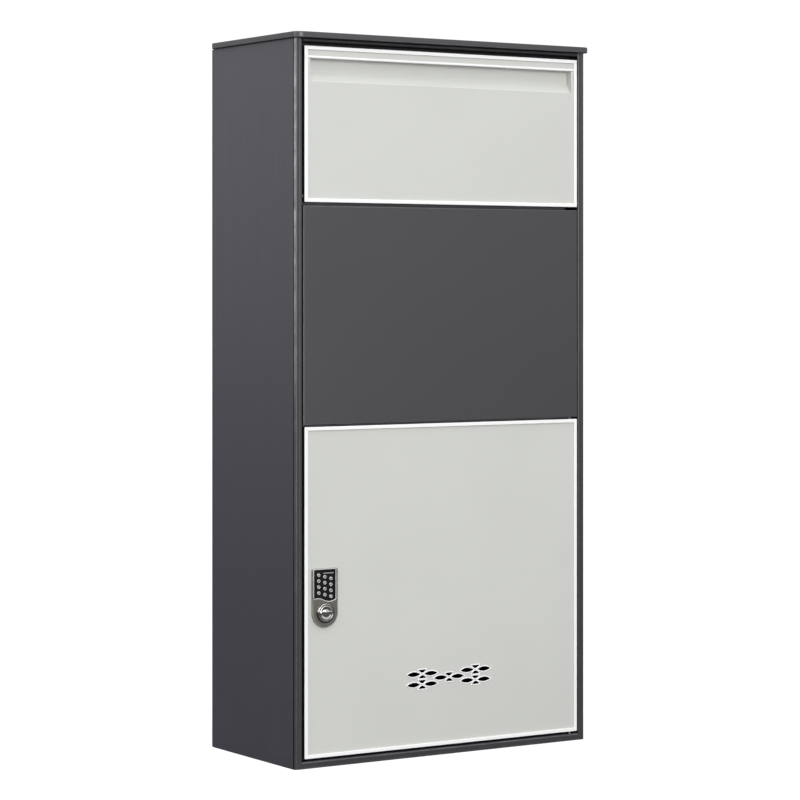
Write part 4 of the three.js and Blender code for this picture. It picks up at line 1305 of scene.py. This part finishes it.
@dataclass
class HopperFlap(Assembly):
    """The tilting flap: face with a finger slot, border, trough, backing and the parcel tray behind it.

    Attributes:
        sheet: Thickness of the face and of the trough.
        tray_sheet: Thickness of the tray's floor.
        lip: Height of the face above the slot.
        bead: Height of the bead over the slot, and how far it stands proud.
        slot_height: Height of the slot.
        slot_wall: Height of the trough's upright back.
        slot_lap: How far the trough laps behind the face, below the slot.
        end_margin: Distance of the slot's ends from the flap's sides.
        trim: Width of the border.
        floor_flange: Height of the flange of the tray's floor.
        floor_slope: Slope of the floor in degrees.
        rivet_margin: Distance of the backing's rivets from its sides and from its top.
        box: Extent of the border.
        low: Its lowest corner, seen from the front.
        high: Its highest corner.
        front: Level of the face.
        slot_top: Height of the slot's upper edge.
        slot_half: Half of the slot's length.
    """

    sheet: float = 1.2
    tray_sheet: float = 1.5
    lip: float = 16.5
    bead: tuple[float, float] = (3.4, 1.2)
    slot_height: float = 31.0
    slot_wall: float = 18.0
    slot_lap: float = 6.0
    end_margin: float = 9.5
    trim: float = 5.0
    floor_flange: float = 26.0
    floor_slope: float = 50.0
    rivet_margin: tuple[float, float] = (60.0, 14.0)
    box: Extent = field(init=False)
    low: Array = field(init=False)
    high: Array = field(init=False)
    front: float = field(init=False)
    slot_top: float = field(init=False)
    slot_half: float = field(init=False)

    def __post_init__(self) -> None:
        """Take the flap's place from the frame."""
        self.box = Extent.of("flap_edge_trim")
        self.low, self.high = self.box.flat(Axis.Y)
        self.front = self.box.high[1] + 0.3
        self.slot_top = self.high[1] - self.lip
        self.slot_half = self.high[0] - self.end_margin

    def build(self) -> None:
        """Build and dress the flap."""
        self._face()
        self._bead()
        self._trough()
        self._backing()
        self._tray()

    def _face(self) -> None:
        """The tray with its finger slot, and the white border round it."""
        slot = panel(np.array([-self.slot_half, self.slot_top - self.slot_height]),
                     np.array([self.slot_half, self.slot_top]), 0.9)
        back = Extent.of("flap_liner").high[1]
        tray = Tray(self.low, self.high, (self.front, back), self.sheet, windows=(slot,))
        self.shop.install("flap_face", tray.patches(), LIGHT_GREY, "flap_skin")
        band = border(self.low, self.high, self.trim, self.box.deep)
        self.shop.install("flap_border", [band], WHITE_EDGE, "flap_edge_trim")

    def _bead(self) -> None:
        """The rolled bead on the slot's upper lip: half an ellipse with a flat back, swept across."""
        height, proud = self.bead
        angle = np.linspace(-math.pi / 2, math.pi / 2, 9)
        arc = np.stack([self.front - proud * np.cos(angle),
                        self.slot_top + height * (1 + np.sin(angle)) / 2], -1)
        behind = arc[::-1] * [0, 1] + [self.front + 0.4, 0]
        reach = self.high[0] - self.trim - 0.3
        mask = np.r_[np.ones(9), np.zeros(9)] * 0.6
        bead = sweep(np.concatenate([arc, behind]), mask, Axis.X, -reach, reach)
        # White paints the highlight along the bead, a roll of the light grey face.
        self.shop.install("slot_bead", bead, WHITE_EDGE, beside="flap_skin")

    def _trough(self) -> None:
        """The trough behind the slot: a folded strip swept across, and an end plate on each side."""
        box = Extent.of("flap_pull_channel")
        lap, back = box.low[1], box.high[1] - self.sheet
        top = self.slot_top
        knee, bottom = top - self.slot_wall, top - self.slot_height
        path = np.array([[lap, top], [back, top], [back, knee], [lap, bottom], [lap, bottom - self.slot_lap]])
        outline, mask = folded(path, self.sheet, 2.4)
        patches = sweep(outline, mask * 0.4, Axis.X, box.low[0], box.high[0])
        middle = self.sheet / 2
        shape = np.array([[lap, bottom], [back, knee], [back, top + middle], [lap, top + middle]])
        span = (self.slot_half, self.slot_half + self.sheet)
        end = Plate(distinct(rounded(shape + [middle, 0], 0.6)), span, Axis.X, soft=(0.2, 0.2),
                    gap=0.1).patches()
        self.shop.install("finger_trough", patches + end + mirrored(end), LIGHT_GREY, "flap_pull_channel")

    def _backing(self) -> None:
        """The sheet that closes the flap's back, with rivets along its top."""
        box = Extent.of("flap_liner")
        low, high = box.flat(Axis.Y)
        sheet = Plate(panel(low, high, 1.2), box.deep)
        self.shop.install("flap_backing", sheet.patches(), INNER_GREY, "flap_liner")
        side, end = self.rivet_margin
        columns = np.linspace(low[0] + side, high[0] - side, 5)
        places = np.stack([columns, np.full(5, high[1] - end)], -1)
        self.shop.install("flap_rivets", rivets(places, box.high[1]), ZINC_STEEL, beside="flap_liner")

    def _tray(self) -> None:
        """The sloping floor, swept across, and a softened copy of each cheek."""
        box = Extent.of("hopper_floor")
        slope = math.radians(self.floor_slope)
        down = np.array([math.cos(slope), -math.sin(slope)])
        start = np.array([box.low[1], box.high[2] - self.floor_flange])
        reach = (box.high[1] - start[0] - math.sin(slope) * self.tray_sheet) / down[0]
        path = np.array([[start[0], box.high[2]], start, start + down * reach])
        outline, mask = folded(path, self.tray_sheet)
        floor = sweep(outline, mask, Axis.X, box.low[0], box.high[0])
        self.shop.install("parcel_tray", floor, INNER_GREY, "hopper_floor")
        for side in ("left", "right"):
            self.shop.soften(f"hopper_cheek_{side}", INNER_GREY, 0.3)


# ---- The door ----


@dataclass(frozen=True)
class Flower:
    """A vent: two leaves side by side, and a half leaf above and below.

    Attributes:
        leaf: Length of a leaf, its width, and its distance from the centre.
        bud: The same of a half leaf.
        steps: Points along each side.
    """

    leaf: tuple[float, float, float] = (22.0, 6.4, 14.3)
    bud: tuple[float, float, float] = (12.4, 4.2, 5.95)
    steps: int = 9

    def openings(self, centre: Array) -> list[Array]:
        """The outlines of one flower's openings.

        A leaf's upper side is the parabola z = w * 2 s * (1 - s), with s from 0 to 1 along its length, and
        its lower side the same turned over. A half leaf is a parabola twice as deep, and a straight edge.

        Args:
            centre: Flat centre of the flower.

        Returns:
            Four anticlockwise outlines.
        """
        share = np.linspace(0, 1, self.steps)
        made = []
        for side in (-1, 1):
            length, width, away = self.leaf
            along = (share - 0.5) * length
            bulge = 2 * width * share * (1 - share)
            low = np.stack([along, -bulge], -1)[:-1]
            high = np.stack([along, bulge], -1)[::-1][:-1]
            made.append(np.concatenate([low, high]) + centre + [side * away, 0])
            length, width, away = self.bud
            along = (share - 0.5) * length
            curve = np.stack([along, -4 * width * share * (1 - share)], -1)[:-1]
            straight = np.stack([along, np.zeros(self.steps)], -1)[::-1][:-1]
            made.append(side * np.concatenate([curve, straight]) + centre + [0, side * away])
        return made


@dataclass
class ParcelDoor(Assembly):
    """The locking door: face with vents, border, and the backing with its window.

    Attributes:
        sheet: Thickness of the face.
        trim: Width of the border.
        vent_place: Place of the middle flower: across, and up from the door's foot.
        vent_step: Distance of the four outer flowers from it, across and up.
        rim_width: Width of the pressed rim round each opening.
        rim_height: How far the rims stand proud.
        bore: Radius of the lock's bore.
        window: Half sizes of the opening in the backing.
        rivet_margin: Distance of the backing's rivets from its sides and from its ends.
        front: Level of the face.
        centre: Place of the middle flower.
        knob: Centre of the lock's bore.
    """

    sheet: float = 1.2
    trim: float = 5.0
    vent_place: tuple[float, float] = (7.6, 94.2)
    vent_step: tuple[float, float] = (44.8, 7.3)
    rim_width: float = 1.4
    rim_height: float = 0.55
    bore: float = 6.0
    window: tuple[float, float] = (84.0, 18.0)
    rivet_margin: tuple[float, float] = (10.0, 14.0)
    front: float = field(init=False)
    centre: Array = field(init=False)
    knob: Array = field(init=False)

    def __post_init__(self) -> None:
        """Take the door's place from the frame."""
        trim = Extent.of("door_edge_trim")
        self.front = trim.high[1] + 0.3
        self.centre = np.array([self.vent_place[0], trim.low[2] + self.vent_place[1]])
        self.knob = Extent.of("lock_ring").centre

    def build(self) -> None:
        """Build and dress the door."""
        trim, liner = Extent.of("door_edge_trim"), Extent.of("door_liner")
        low, high = trim.flat(Axis.Y)
        across, up = self.vent_step
        offsets = [(0.0, 0.0)] + [(x, z) for x in (-across, across) for z in (-up, up)]
        vents = [opening for offset in offsets for opening in Flower().openings(self.centre + offset)]
        face = Tray(low, high, (self.front, liner.high[1]), self.sheet,
                    windows=(circle(self.knob, self.bore, 24), *vents), window_soft=0.1, window_dark=True)
        self.shop.install("door_face", face.patches(), LIGHT_GREY, "door_skin")
        band = border(low, high, self.trim, trim.deep)
        self.shop.install("door_border", [band], WHITE_EDGE, "door_edge_trim")
        rims = [self._rim(vent) for vent in vents]
        # White paints the highlight along the pressed rims of the light grey face.
        self.shop.install("vent_rims", rims, WHITE_EDGE, beside="door_skin")
        self._backing(liner)

    def _rim(self, vent: Array) -> Patch:
        """A pressed rim: the vent's outline carried round a closed half-round section.

        The section stands proud of the face by height * sin t and reaches across by width * (1 - cos t) / 2.
        """
        angle = np.linspace(0, math.pi, 9)
        away = -0.05 + self.rim_width * (1 - np.cos(angle)) / 2
        level = self.front - self.rim_height * np.sin(angle) - 0.02
        loops = grown(vent, np.r_[away, 1.0, 0.15], 1.6)
        mask = np.r_[np.ones(9), 0.0, 0.0] * 0.6
        return Patch.loft(loops, np.r_[level, self.front + 0.4, self.front + 0.4], mask, closed=True)

    def _backing(self, box: Extent) -> None:
        """The sheet that closes the door's back, with an opening behind the vents and rivets round it."""
        low, high = box.flat(Axis.Y)
        half = np.array(self.window)
        window = panel(self.centre - half, self.centre + half, 3.0)
        sheet = Plate(panel(low, high, 1.2), box.deep, holes=(window, circle(self.knob, self.bore, 24)))
        self.shop.install("door_backing", sheet.patches(), INNER_GREY, "door_liner")
        side, end = self.rivet_margin
        rows = np.linspace(low[1] + end, high[1] - end, 5)[1:]
        places = np.stack(np.meshgrid([low[0] + side, high[0] - side], rows), -1).reshape(-1, 2)
        self.shop.install("door_rivets", rivets(places, box.high[1]), ZINC_STEEL, beside="door_liner")


# ---- The lock ----


@dataclass
class KeypadLock(Assembly):
    """The keypad lock: plate, window, keys, ring and knob in front, cam and housing behind the door.

    Attributes:
        window_half: Half of the window's width.
        window_shift: Its middle from the knob's line, towards the hinges.
        window_corner: Radius of its corners.
        window_ends: Heights of its lower corners above the knob, left and right.
        wave: Swing and sag of its lower edge.
        bezel: Width of the bright bezel round it.
        pocket: Depth of the pocket behind the keys.
        strip: Length and height of the light strip.
        strip_place: Its lower left corner, across from the knob and down from the window's top.
        keys: How many keys there are.
        key: Radius of a key's button.
        key_flange: Thickness of its flange.
        key_dish: Radius of its dark middle.
        key_round: Radii of its rim and its dish, from the button's side inwards.
        key_depths: Depth behind its front of the side's end and of each of those radii.
        ring_bore: Radius of the ring's bore.
        disc: Radius of the knob's disc, and its height above the ring's back.
        grip: Half sizes of the grip bar.
        boss: Radius of the boss in its middle.
        spindle: Radius of the spindle.
        ring: Extent of the ring.
        centre: The knob's line.
    """

    window_half: float = 17.3
    window_shift: float = -0.9
    window_corner: float = 0.9
    window_ends: tuple[float, float] = (19.3, 17.9)
    wave: tuple[float, float] = (1.9, 1.55)
    bezel: float = 0.85
    pocket: float = 2.9
    strip: tuple[float, float] = (17.0, 1.4)
    strip_place: tuple[float, float] = (-3.6, -5.9)
    keys: int = 12
    key: float = 2.4
    key_flange: float = 0.6
    key_dish: float = 1.3
    key_round: tuple[float, ...] = (2.3, 2.1, 1.75, 1.35, 1.1, 0.9, 0.6, 0.0)
    key_depths: tuple[float, ...] = (0.5, 0.2, 0.05, 0.0, 0.06, 0.2, 0.3, 0.34, 0.36)
    ring_bore: float = 10.3
    disc: tuple[float, float] = (10.0, 2.8)
    grip: tuple[float, float] = (9.0, 2.4)
    boss: float = 4.8
    spindle: float = 4.0
    ring: Extent = field(init=False)
    centre: Array = field(init=False)

    def __post_init__(self) -> None:
        """Take the lock's place from the frame."""
        self.ring = Extent.of("lock_ring")
        self.centre = self.ring.centre

    def build(self) -> None:
        """Build and dress the lock."""
        self._plate()
        self._window()
        for number in range(1, self.keys + 1):
            self._key(f"key_{number}")
        self._ring()
        self._knob()
        self._cam()
        self._case()
        for end in ("lower", "upper"):
            self._screw(f"lock_screw_{end}")

    def _wave(self, margin: float) -> Array:
        """Outline of the key window, grown by a margin.

        Its lower edge runs from the left corner to the right one as a straight line in s, from 0 to 1, plus
        a * sin(2 pi s) less b * sin(pi s) squared: a crest on the left and a deeper trough on the right.
        """
        top = Extent.of("keypad_window").high[2]
        middle = self.centre[0] + self.window_shift
        share = np.linspace(0, 1, 25)
        left, right = self.window_ends
        swing, sag = self.wave
        low = (self.centre[1] + left + (right - left) * share + swing * np.sin(2 * math.pi * share)
               - sag * np.sin(math.pi * share) ** 2)
        edge = np.stack([middle + (share * 2 - 1) * self.window_half, low], -1)
        corners = np.array([[middle + self.window_half, top], [middle - self.window_half, top]])
        outline = np.concatenate([edge, corners])
        radii = np.r_[self.window_corner, np.zeros(23), np.full(3, self.window_corner)]
        return grown(distinct(rounded(outline, radii, gap=0.2)), np.array([margin]))[0]

    def _arched(self, box: Extent, start: float, count: int, radius: float) -> Array:
        """A half circle about the knob's line closed by the box's straight far end.

        Args:
            box: Extent whose width is the circle's.
            start: Angle at which the half circle starts: 0 opens downwards, pi upwards.
            count: Points on the half circle.
            radius: Radius of the two far corners.

        Returns:
            The anticlockwise outline.
        """
        angle = np.linspace(start, start + math.pi, count)
        bow = self.centre + box.radius * np.stack([np.cos(angle), np.sin(angle)], -1)
        level = box.high[2] if start else box.low[2]
        sides = (box.high[0], box.low[0]) if start else (box.low[0], box.high[0])
        corners = np.concatenate([bow, [[side, level] for side in sides]])
        return distinct(rounded(corners, np.r_[np.zeros(count), radius, radius], gap=0.2))

    def _bore(self) -> Array:
        """The hole for the spindle."""
        return circle(self.centre, self.spindle + 0.3, 24)

    def _plate(self) -> None:
        """The plate: straight sides above a half circle, with the pocket of the window and the bore."""
        box = Extent.of("lock_faceplate")
        pocket = (self._wave(0.3), box.low[1] + self.pocket)
        plate = Plate(self._arched(box, math.pi, 33, 1.6), box.deep, holes=(self._bore(),), soft=(1.0, 0.3),
                      pockets=(pocket,))
        self.shop.install("lock_plate", plate.patches(), NICKEL, "lock_faceplate")

    def _window(self) -> None:
        """The gloss window with its key holes, a thin light strip at its top right, and the bezel."""
        box = Extent.of("keypad_window")
        front = box.low[1]
        places = [Extent.of(f"key_{number}").centre for number in range(1, self.keys + 1)]
        holes = tuple(circle(place, self.key + 0.25, 20) for place in places)
        sheet = Plate(self._wave(0.0), box.deep, holes=holes, soft=(0.25, 0.1), gap=0.15)
        low = np.array([self.centre[0], box.high[2]]) + self.strip_place
        lamp = Plate(panel(low, low + self.strip, 0.65), (front - 0.12, front + 0.3), soft=(0.1, 0.05),
                     gap=0.1)
        lit = [Patch(p.points, p.faces, p.edge, np.ones(len(p.points))) for p in lamp.patches()]
        self.shop.install("key_window", sheet.patches() + lit, GLOSS_BLACK, "keypad_window")
        turn = np.linspace(0, 2 * math.pi, 10, endpoint=False)
        loops = grown(self._wave(0.0), self.bezel * (0.4 - np.cos(turn) / 2), 1.6)
        rim = Patch.loft(loops, front - 0.32 * np.sin(turn), 0.5, closed=True)
        self.shop.install("window_bezel", [rim], BEZEL, beside="keypad_window")

    def _key(self, node: str) -> None:
        """A key: a flanged button with a rounded rim and a dished dark middle, turned about its own line."""
        box = Extent.of(node)
        front, back = box.deep
        seat = back - self.key_flange
        radii = np.r_[0.0, box.radius, box.radius, self.key, self.key, self.key_round]
        levels = np.r_[back, back, seat, seat, front + np.array(self.key_depths)]
        inlay = (radii < self.key_dish) & (levels < seat)
        mask = np.where((levels < front + 0.3) & (radii > 1.2), 0.6, 0.0)
        button = revolve(radii, levels, box.centre, mask=mask, inlay=inlay.astype(float), count=28)
        self.shop.install(f"{node}_button", [button], KEY_CAP, node)

    def _ring(self) -> None:
        """The stepped ring round the knob: a closed section turned about the knob's line."""
        front, back = self.ring.deep
        inner, outer = self.ring_bore, self.ring.radius
        step, half = (inner + outer) / 2, (front + back) / 2
        corners = np.array([[inner, back], [inner, front], [step, front], [step, half], [outer, half],
                            [outer, back]])
        section = rounded(corners, np.array([0.1, 0.4, 0.5, 0.3, 0.6, 0.1]), gap=0.15)
        skirt = (section[:, 0] > step + 0.4).astype(float)
        turned = revolve(section[:, 0], section[:, 1], self.centre, mask=arc_mask(6) * 0.4, inlay=skirt,
                         count=72, closed=True)
        self.shop.install("knob_ring", [turned], CHROME, "lock_ring")

    def _knob(self) -> None:
        """The knob: a dished disc with a raised grip bar and boss, and its spindle through the door."""
        box = Extent.of("lock_knob")
        (front, end), back = box.deep, self.ring.high[1]
        radius, height = self.disc
        disc = back - height
        corners = np.array([[0.0, back], [radius, back], [radius, disc], [6.2, disc + 0.7],
                            [0.0, disc + 0.9]])
        path, mask = profile(corners, np.array([0, 0.1, 1.1, 2.0, 0]))
        patches = [revolve(path[:, 0], path[:, 1], self.centre, mask=mask * 0.4, count=64)]
        shaft = np.array([[0.0, back - 0.5], [self.spindle, back - 0.5], [self.spindle, end], [2.3, end],
                          [2.3, end - 8.0], [0.0, end - 8.0]])
        path, _ = profile(shaft, np.array([0, 0.1, 0.5, 0.2, 0.1, 0]))
        patches.append(revolve(path[:, 0], path[:, 1], self.centre, count=24))
        half = np.array(self.grip)
        bar = panel(self.centre - half, self.centre + half, 2.3, 8, 0.1)
        patches += Plate(bar, (front + 0.3, disc + 1.0), soft=(0.9, 0.1), gap=0.2).patches()
        rim, rise = dome(self.boss, 1.1, 9)
        levels = np.r_[disc + 1.0, disc + 1.0, front + 1.1 - rise]
        patches.append(revolve(np.r_[0.0, self.boss, rim], levels, self.centre, mask=0.3, count=48))
        self.shop.install("turn_knob", patches, CHROME, "lock_knob")

    def _cam(self) -> None:
        """The cam behind the door: a half circle on a straight arm, and its screw."""
        box = Extent.of("lock_cam")
        cam = Plate(self._arched(box, 0.0, 17, 1.2), box.deep, holes=(self._bore(),), soft=(0.4, 0.4))
        self.shop.install("cam_arm", cam.patches(), ZINC_STEEL, "lock_cam")
        self._screw("cam_screw", 2.0)

    def _case(self) -> None:
        """The housing, and its battery cover with four grip ribs."""
        box = Extent.of("lock_housing")
        case = Plate(panel(*box.flat(Axis.Y), 4.0, 6), box.deep, holes=(self._bore(),), soft=(0.3, 2.0))
        self.shop.install("lock_case", case.patches(), MATT_PLASTIC, "lock_housing")
        box = Extent.of("battery_cover")
        low, high = box.flat(Axis.Y)
        lid = Plate(panel(low, high, 2.0), box.deep, soft=(0.1, 0.6)).patches()
        for level in np.linspace(low[1] + 5, low[1] + 11, 4):
            start = np.array([low[0] + 7, level])
            rib = panel(start, start + [high[0] - low[0] - 14, 0.9], 0.4)
            lid += Plate(rib, (box.high[1] - 0.1, box.high[1] + 0.4), soft=(0.05, 0.2), gap=0.1).patches()
        self.shop.install("battery_lid", lid, MATT_PLASTIC, "battery_cover")

    def _screw(self, node: str, head: float | None = None) -> None:
        """A screw head with a hexagon socket: a low dome turned about its line round a well.

        Args:
            node: The screw's node.
            head: Height of the head; the rest is shaft. None where all of it is head.
        """
        box = Extent.of(node)
        radius = (box.high[2] - box.low[2]) / 2
        front, back = box.deep
        height = back - front if head is None else head
        base = back - height
        rim, rise = dome(radius, height * 0.7, 6)
        well, floor = radius * 0.45, back - height * 0.5
        keep = rim > well * 1.2
        radii = np.r_[0.0, radius, rim[keep], well * 1.1, well, well, 0.0]
        levels = np.r_[base, base, base + height * 0.3 + rise[keep], back, back - 0.1, floor, floor]
        patches = [revolve(radii, levels, box.centre, mask=0.4, count=24)]
        if head is not None:
            shaft = np.array([[0.0, base + 0.2], [2.0, base + 0.2], [2.0, front], [0.0, front]])
            path, _ = profile(shaft, np.array([0, 0.1, 0.4, 0]))
            patches.append(revolve(path[:, 0], path[:, 1], box.centre, count=16))
        self.shop.install(f"{node}_head", patches, ZINC_STEEL, node)


# ---- The studio ----


@dataclass(frozen=True)
class Lamp:
    """A square area lamp that faces a point.

    Attributes:
        name: Its name.
        place: Where it stands, in metres.
        aim: The point that it faces.
        size: Side of the square in metres.
        power: Watts.
    """

    name: str
    place: tuple[float, float, float]
    aim: tuple[float, float, float]
    size: float
    power: float

    def build(self) -> None:
        """Hang the lamp and turn it towards its point."""
        light = bpy.data.lights.new(self.name, "AREA")
        light.size = self.size
        light.energy = self.power
        holder = bpy.data.objects.new(self.name, light)
        holder.location = self.place
        across, along, up = np.array(self.aim) - np.array(self.place)
        holder.rotation_euler = (math.atan2(math.hypot(across, along), -up), 0.0,
                                 math.atan2(along, across) - math.pi / 2)
        bpy.context.scene.collection.objects.link(holder)


@dataclass
class Studio:
    """Camera, pale floor and soft light, in metres.

    Attributes:
        lens: Focal length in millimetres.
        shift: Upward shift of the frame.
        place: The camera's place.
        heading: How far it turns right from the y axis, in degrees.
        floor: Half of the floor's side.
        glow: Strength of the floor's own white.
        lamps: The lamps above, in front and at the left.
    """

    lens: float = 126.45
    shift: float = -0.1389
    place: tuple[float, float, float] = (-2.1819, -3.3834, 0.6514)
    heading: float = 32.79
    floor: float = 30.0
    glow: float = 1.15
    lamps: tuple[Lamp, ...] = (Lamp("overhead", (0.0, -0.6, 3.2), (0.0, 0.0, 0.5), 2.6, 28.0),
                               Lamp("front", (-0.8, -3.9, 1.3), (0.0, 0.0, 0.5), 2.2, 100.0),
                               Lamp("left", (-3.4, -0.2, 1.7), (0.0, 0.0, 0.7), 1.8, 26.0))

    def build(self) -> None:
        """Set up the studio."""
        self._camera()
        self._floor()
        self._world()
        for lamp in self.lamps:
            lamp.build()
        bpy.context.scene.view_settings.view_transform = "Standard"

    def _camera(self) -> None:
        """A level camera to the left of the front."""
        camera = bpy.data.cameras.new("camera")
        camera.lens = self.lens
        camera.sensor_width = 36.0
        camera.shift_y = self.shift
        camera.clip_end = 60.0
        holder = bpy.data.objects.new("camera", camera)
        holder.location = self.place
        holder.rotation_euler = (math.pi / 2, 0.0, -math.radians(self.heading))
        bpy.context.scene.collection.objects.link(holder)
        bpy.context.scene.camera = holder

    def _floor(self) -> None:
        """A wide pale floor; it looks white and gives little light back."""
        mesh = bpy.data.meshes.new("floor")
        corners = Axis.Z.place(rectangle(np.full(2, -self.floor), np.full(2, self.floor)), 0.0)
        mesh.from_pydata(corners.tolist(), [], [(0, 1, 2, 3)])
        floor = bpy.data.objects.new("floor", mesh)
        bpy.context.scene.collection.objects.link(floor)
        material = bpy.data.materials.new("pale_floor")
        graph = Graph(self._cleared(material))
        lit = graph.node("ShaderNodeBsdfDiffuse", {"Color": (1.0, 1.0, 1.0, 1.0)})
        white = graph.node("ShaderNodeEmission", {"Strength": self.glow})
        bounced = graph.node("ShaderNodeBsdfDiffuse", {"Color": (0.08, 0.08, 0.085, 1.0)})
        place = graph.node("ShaderNodeTexCoord").outputs["Object"]
        away = graph.node("ShaderNodeVectorMath", {0: place}, operation="LENGTH").outputs["Value"]
        seen = graph.node("ShaderNodeMixShader", {0: graph.ramp(away, 0.35, 1.1, 0.6, 1.0), 1: lit.outputs[0],
                                                  2: white.outputs[0]})
        self._split(graph, "ShaderNodeOutputMaterial", bounced, seen)
        mesh.materials.append(material)

    def _world(self) -> None:
        """White to the camera; for everything else a soft sky that darkens towards the ground."""
        world = bpy.data.worlds.new("studio")
        bpy.context.scene.world = world
        graph = Graph(self._cleared(world))
        direction = graph.node("ShaderNodeTexCoord").outputs["Generated"]
        up = graph.node("ShaderNodeSeparateXYZ", {0: direction}).outputs["Z"]
        level = graph.ramp(up, 0.0, 0.9, 0.82, 1.0)
        soft = graph.node("ShaderNodeBackground", {"Color": (0.97, 0.98, 1.0, 1.0), "Strength": level})
        white = graph.node("ShaderNodeBackground", {"Color": (1.0, 1.0, 1.0, 1.0), "Strength": 1.05})
        self._split(graph, "ShaderNodeOutputWorld", soft, white)

    @staticmethod
    def _cleared(owner: bpy.types.Material | bpy.types.World) -> Tree:
        """The empty node tree of a material or a world."""
        owner.use_nodes = True
        owner.node_tree.nodes.clear()
        return owner.node_tree

    @staticmethod
    def _split(graph: Graph, output: str, others: Node, camera: Node) -> None:
        """Show the camera's rays one shader and all other rays another.

        Args:
            graph: Graph of the material or the world.
            output: Kind of its output node.
            others: Shader for the other rays.
            camera: Shader for the camera's rays.
        """
        ray = graph.node("ShaderNodeLightPath").outputs["Is Camera Ray"]
        mixed = graph.node("ShaderNodeMixShader", {0: ray, 1: others.outputs[0], 2: camera.outputs[0]})
        graph.node(output, {"Surface": mixed.outputs[0]})


def main() -> None:
    """Build the studio and each sub-assembly in order."""
    logging.basicConfig(level=logging.INFO, format="%(message)s")
    shop = Workshop()
    Studio().build()
    for kind in (CabinetShell, FrontFrame, MiddlePanel, Hardware, HopperFlap, ParcelDoor, KeypadLock):
        kind(shop).build()


if __name__ == "__main__":
    main()
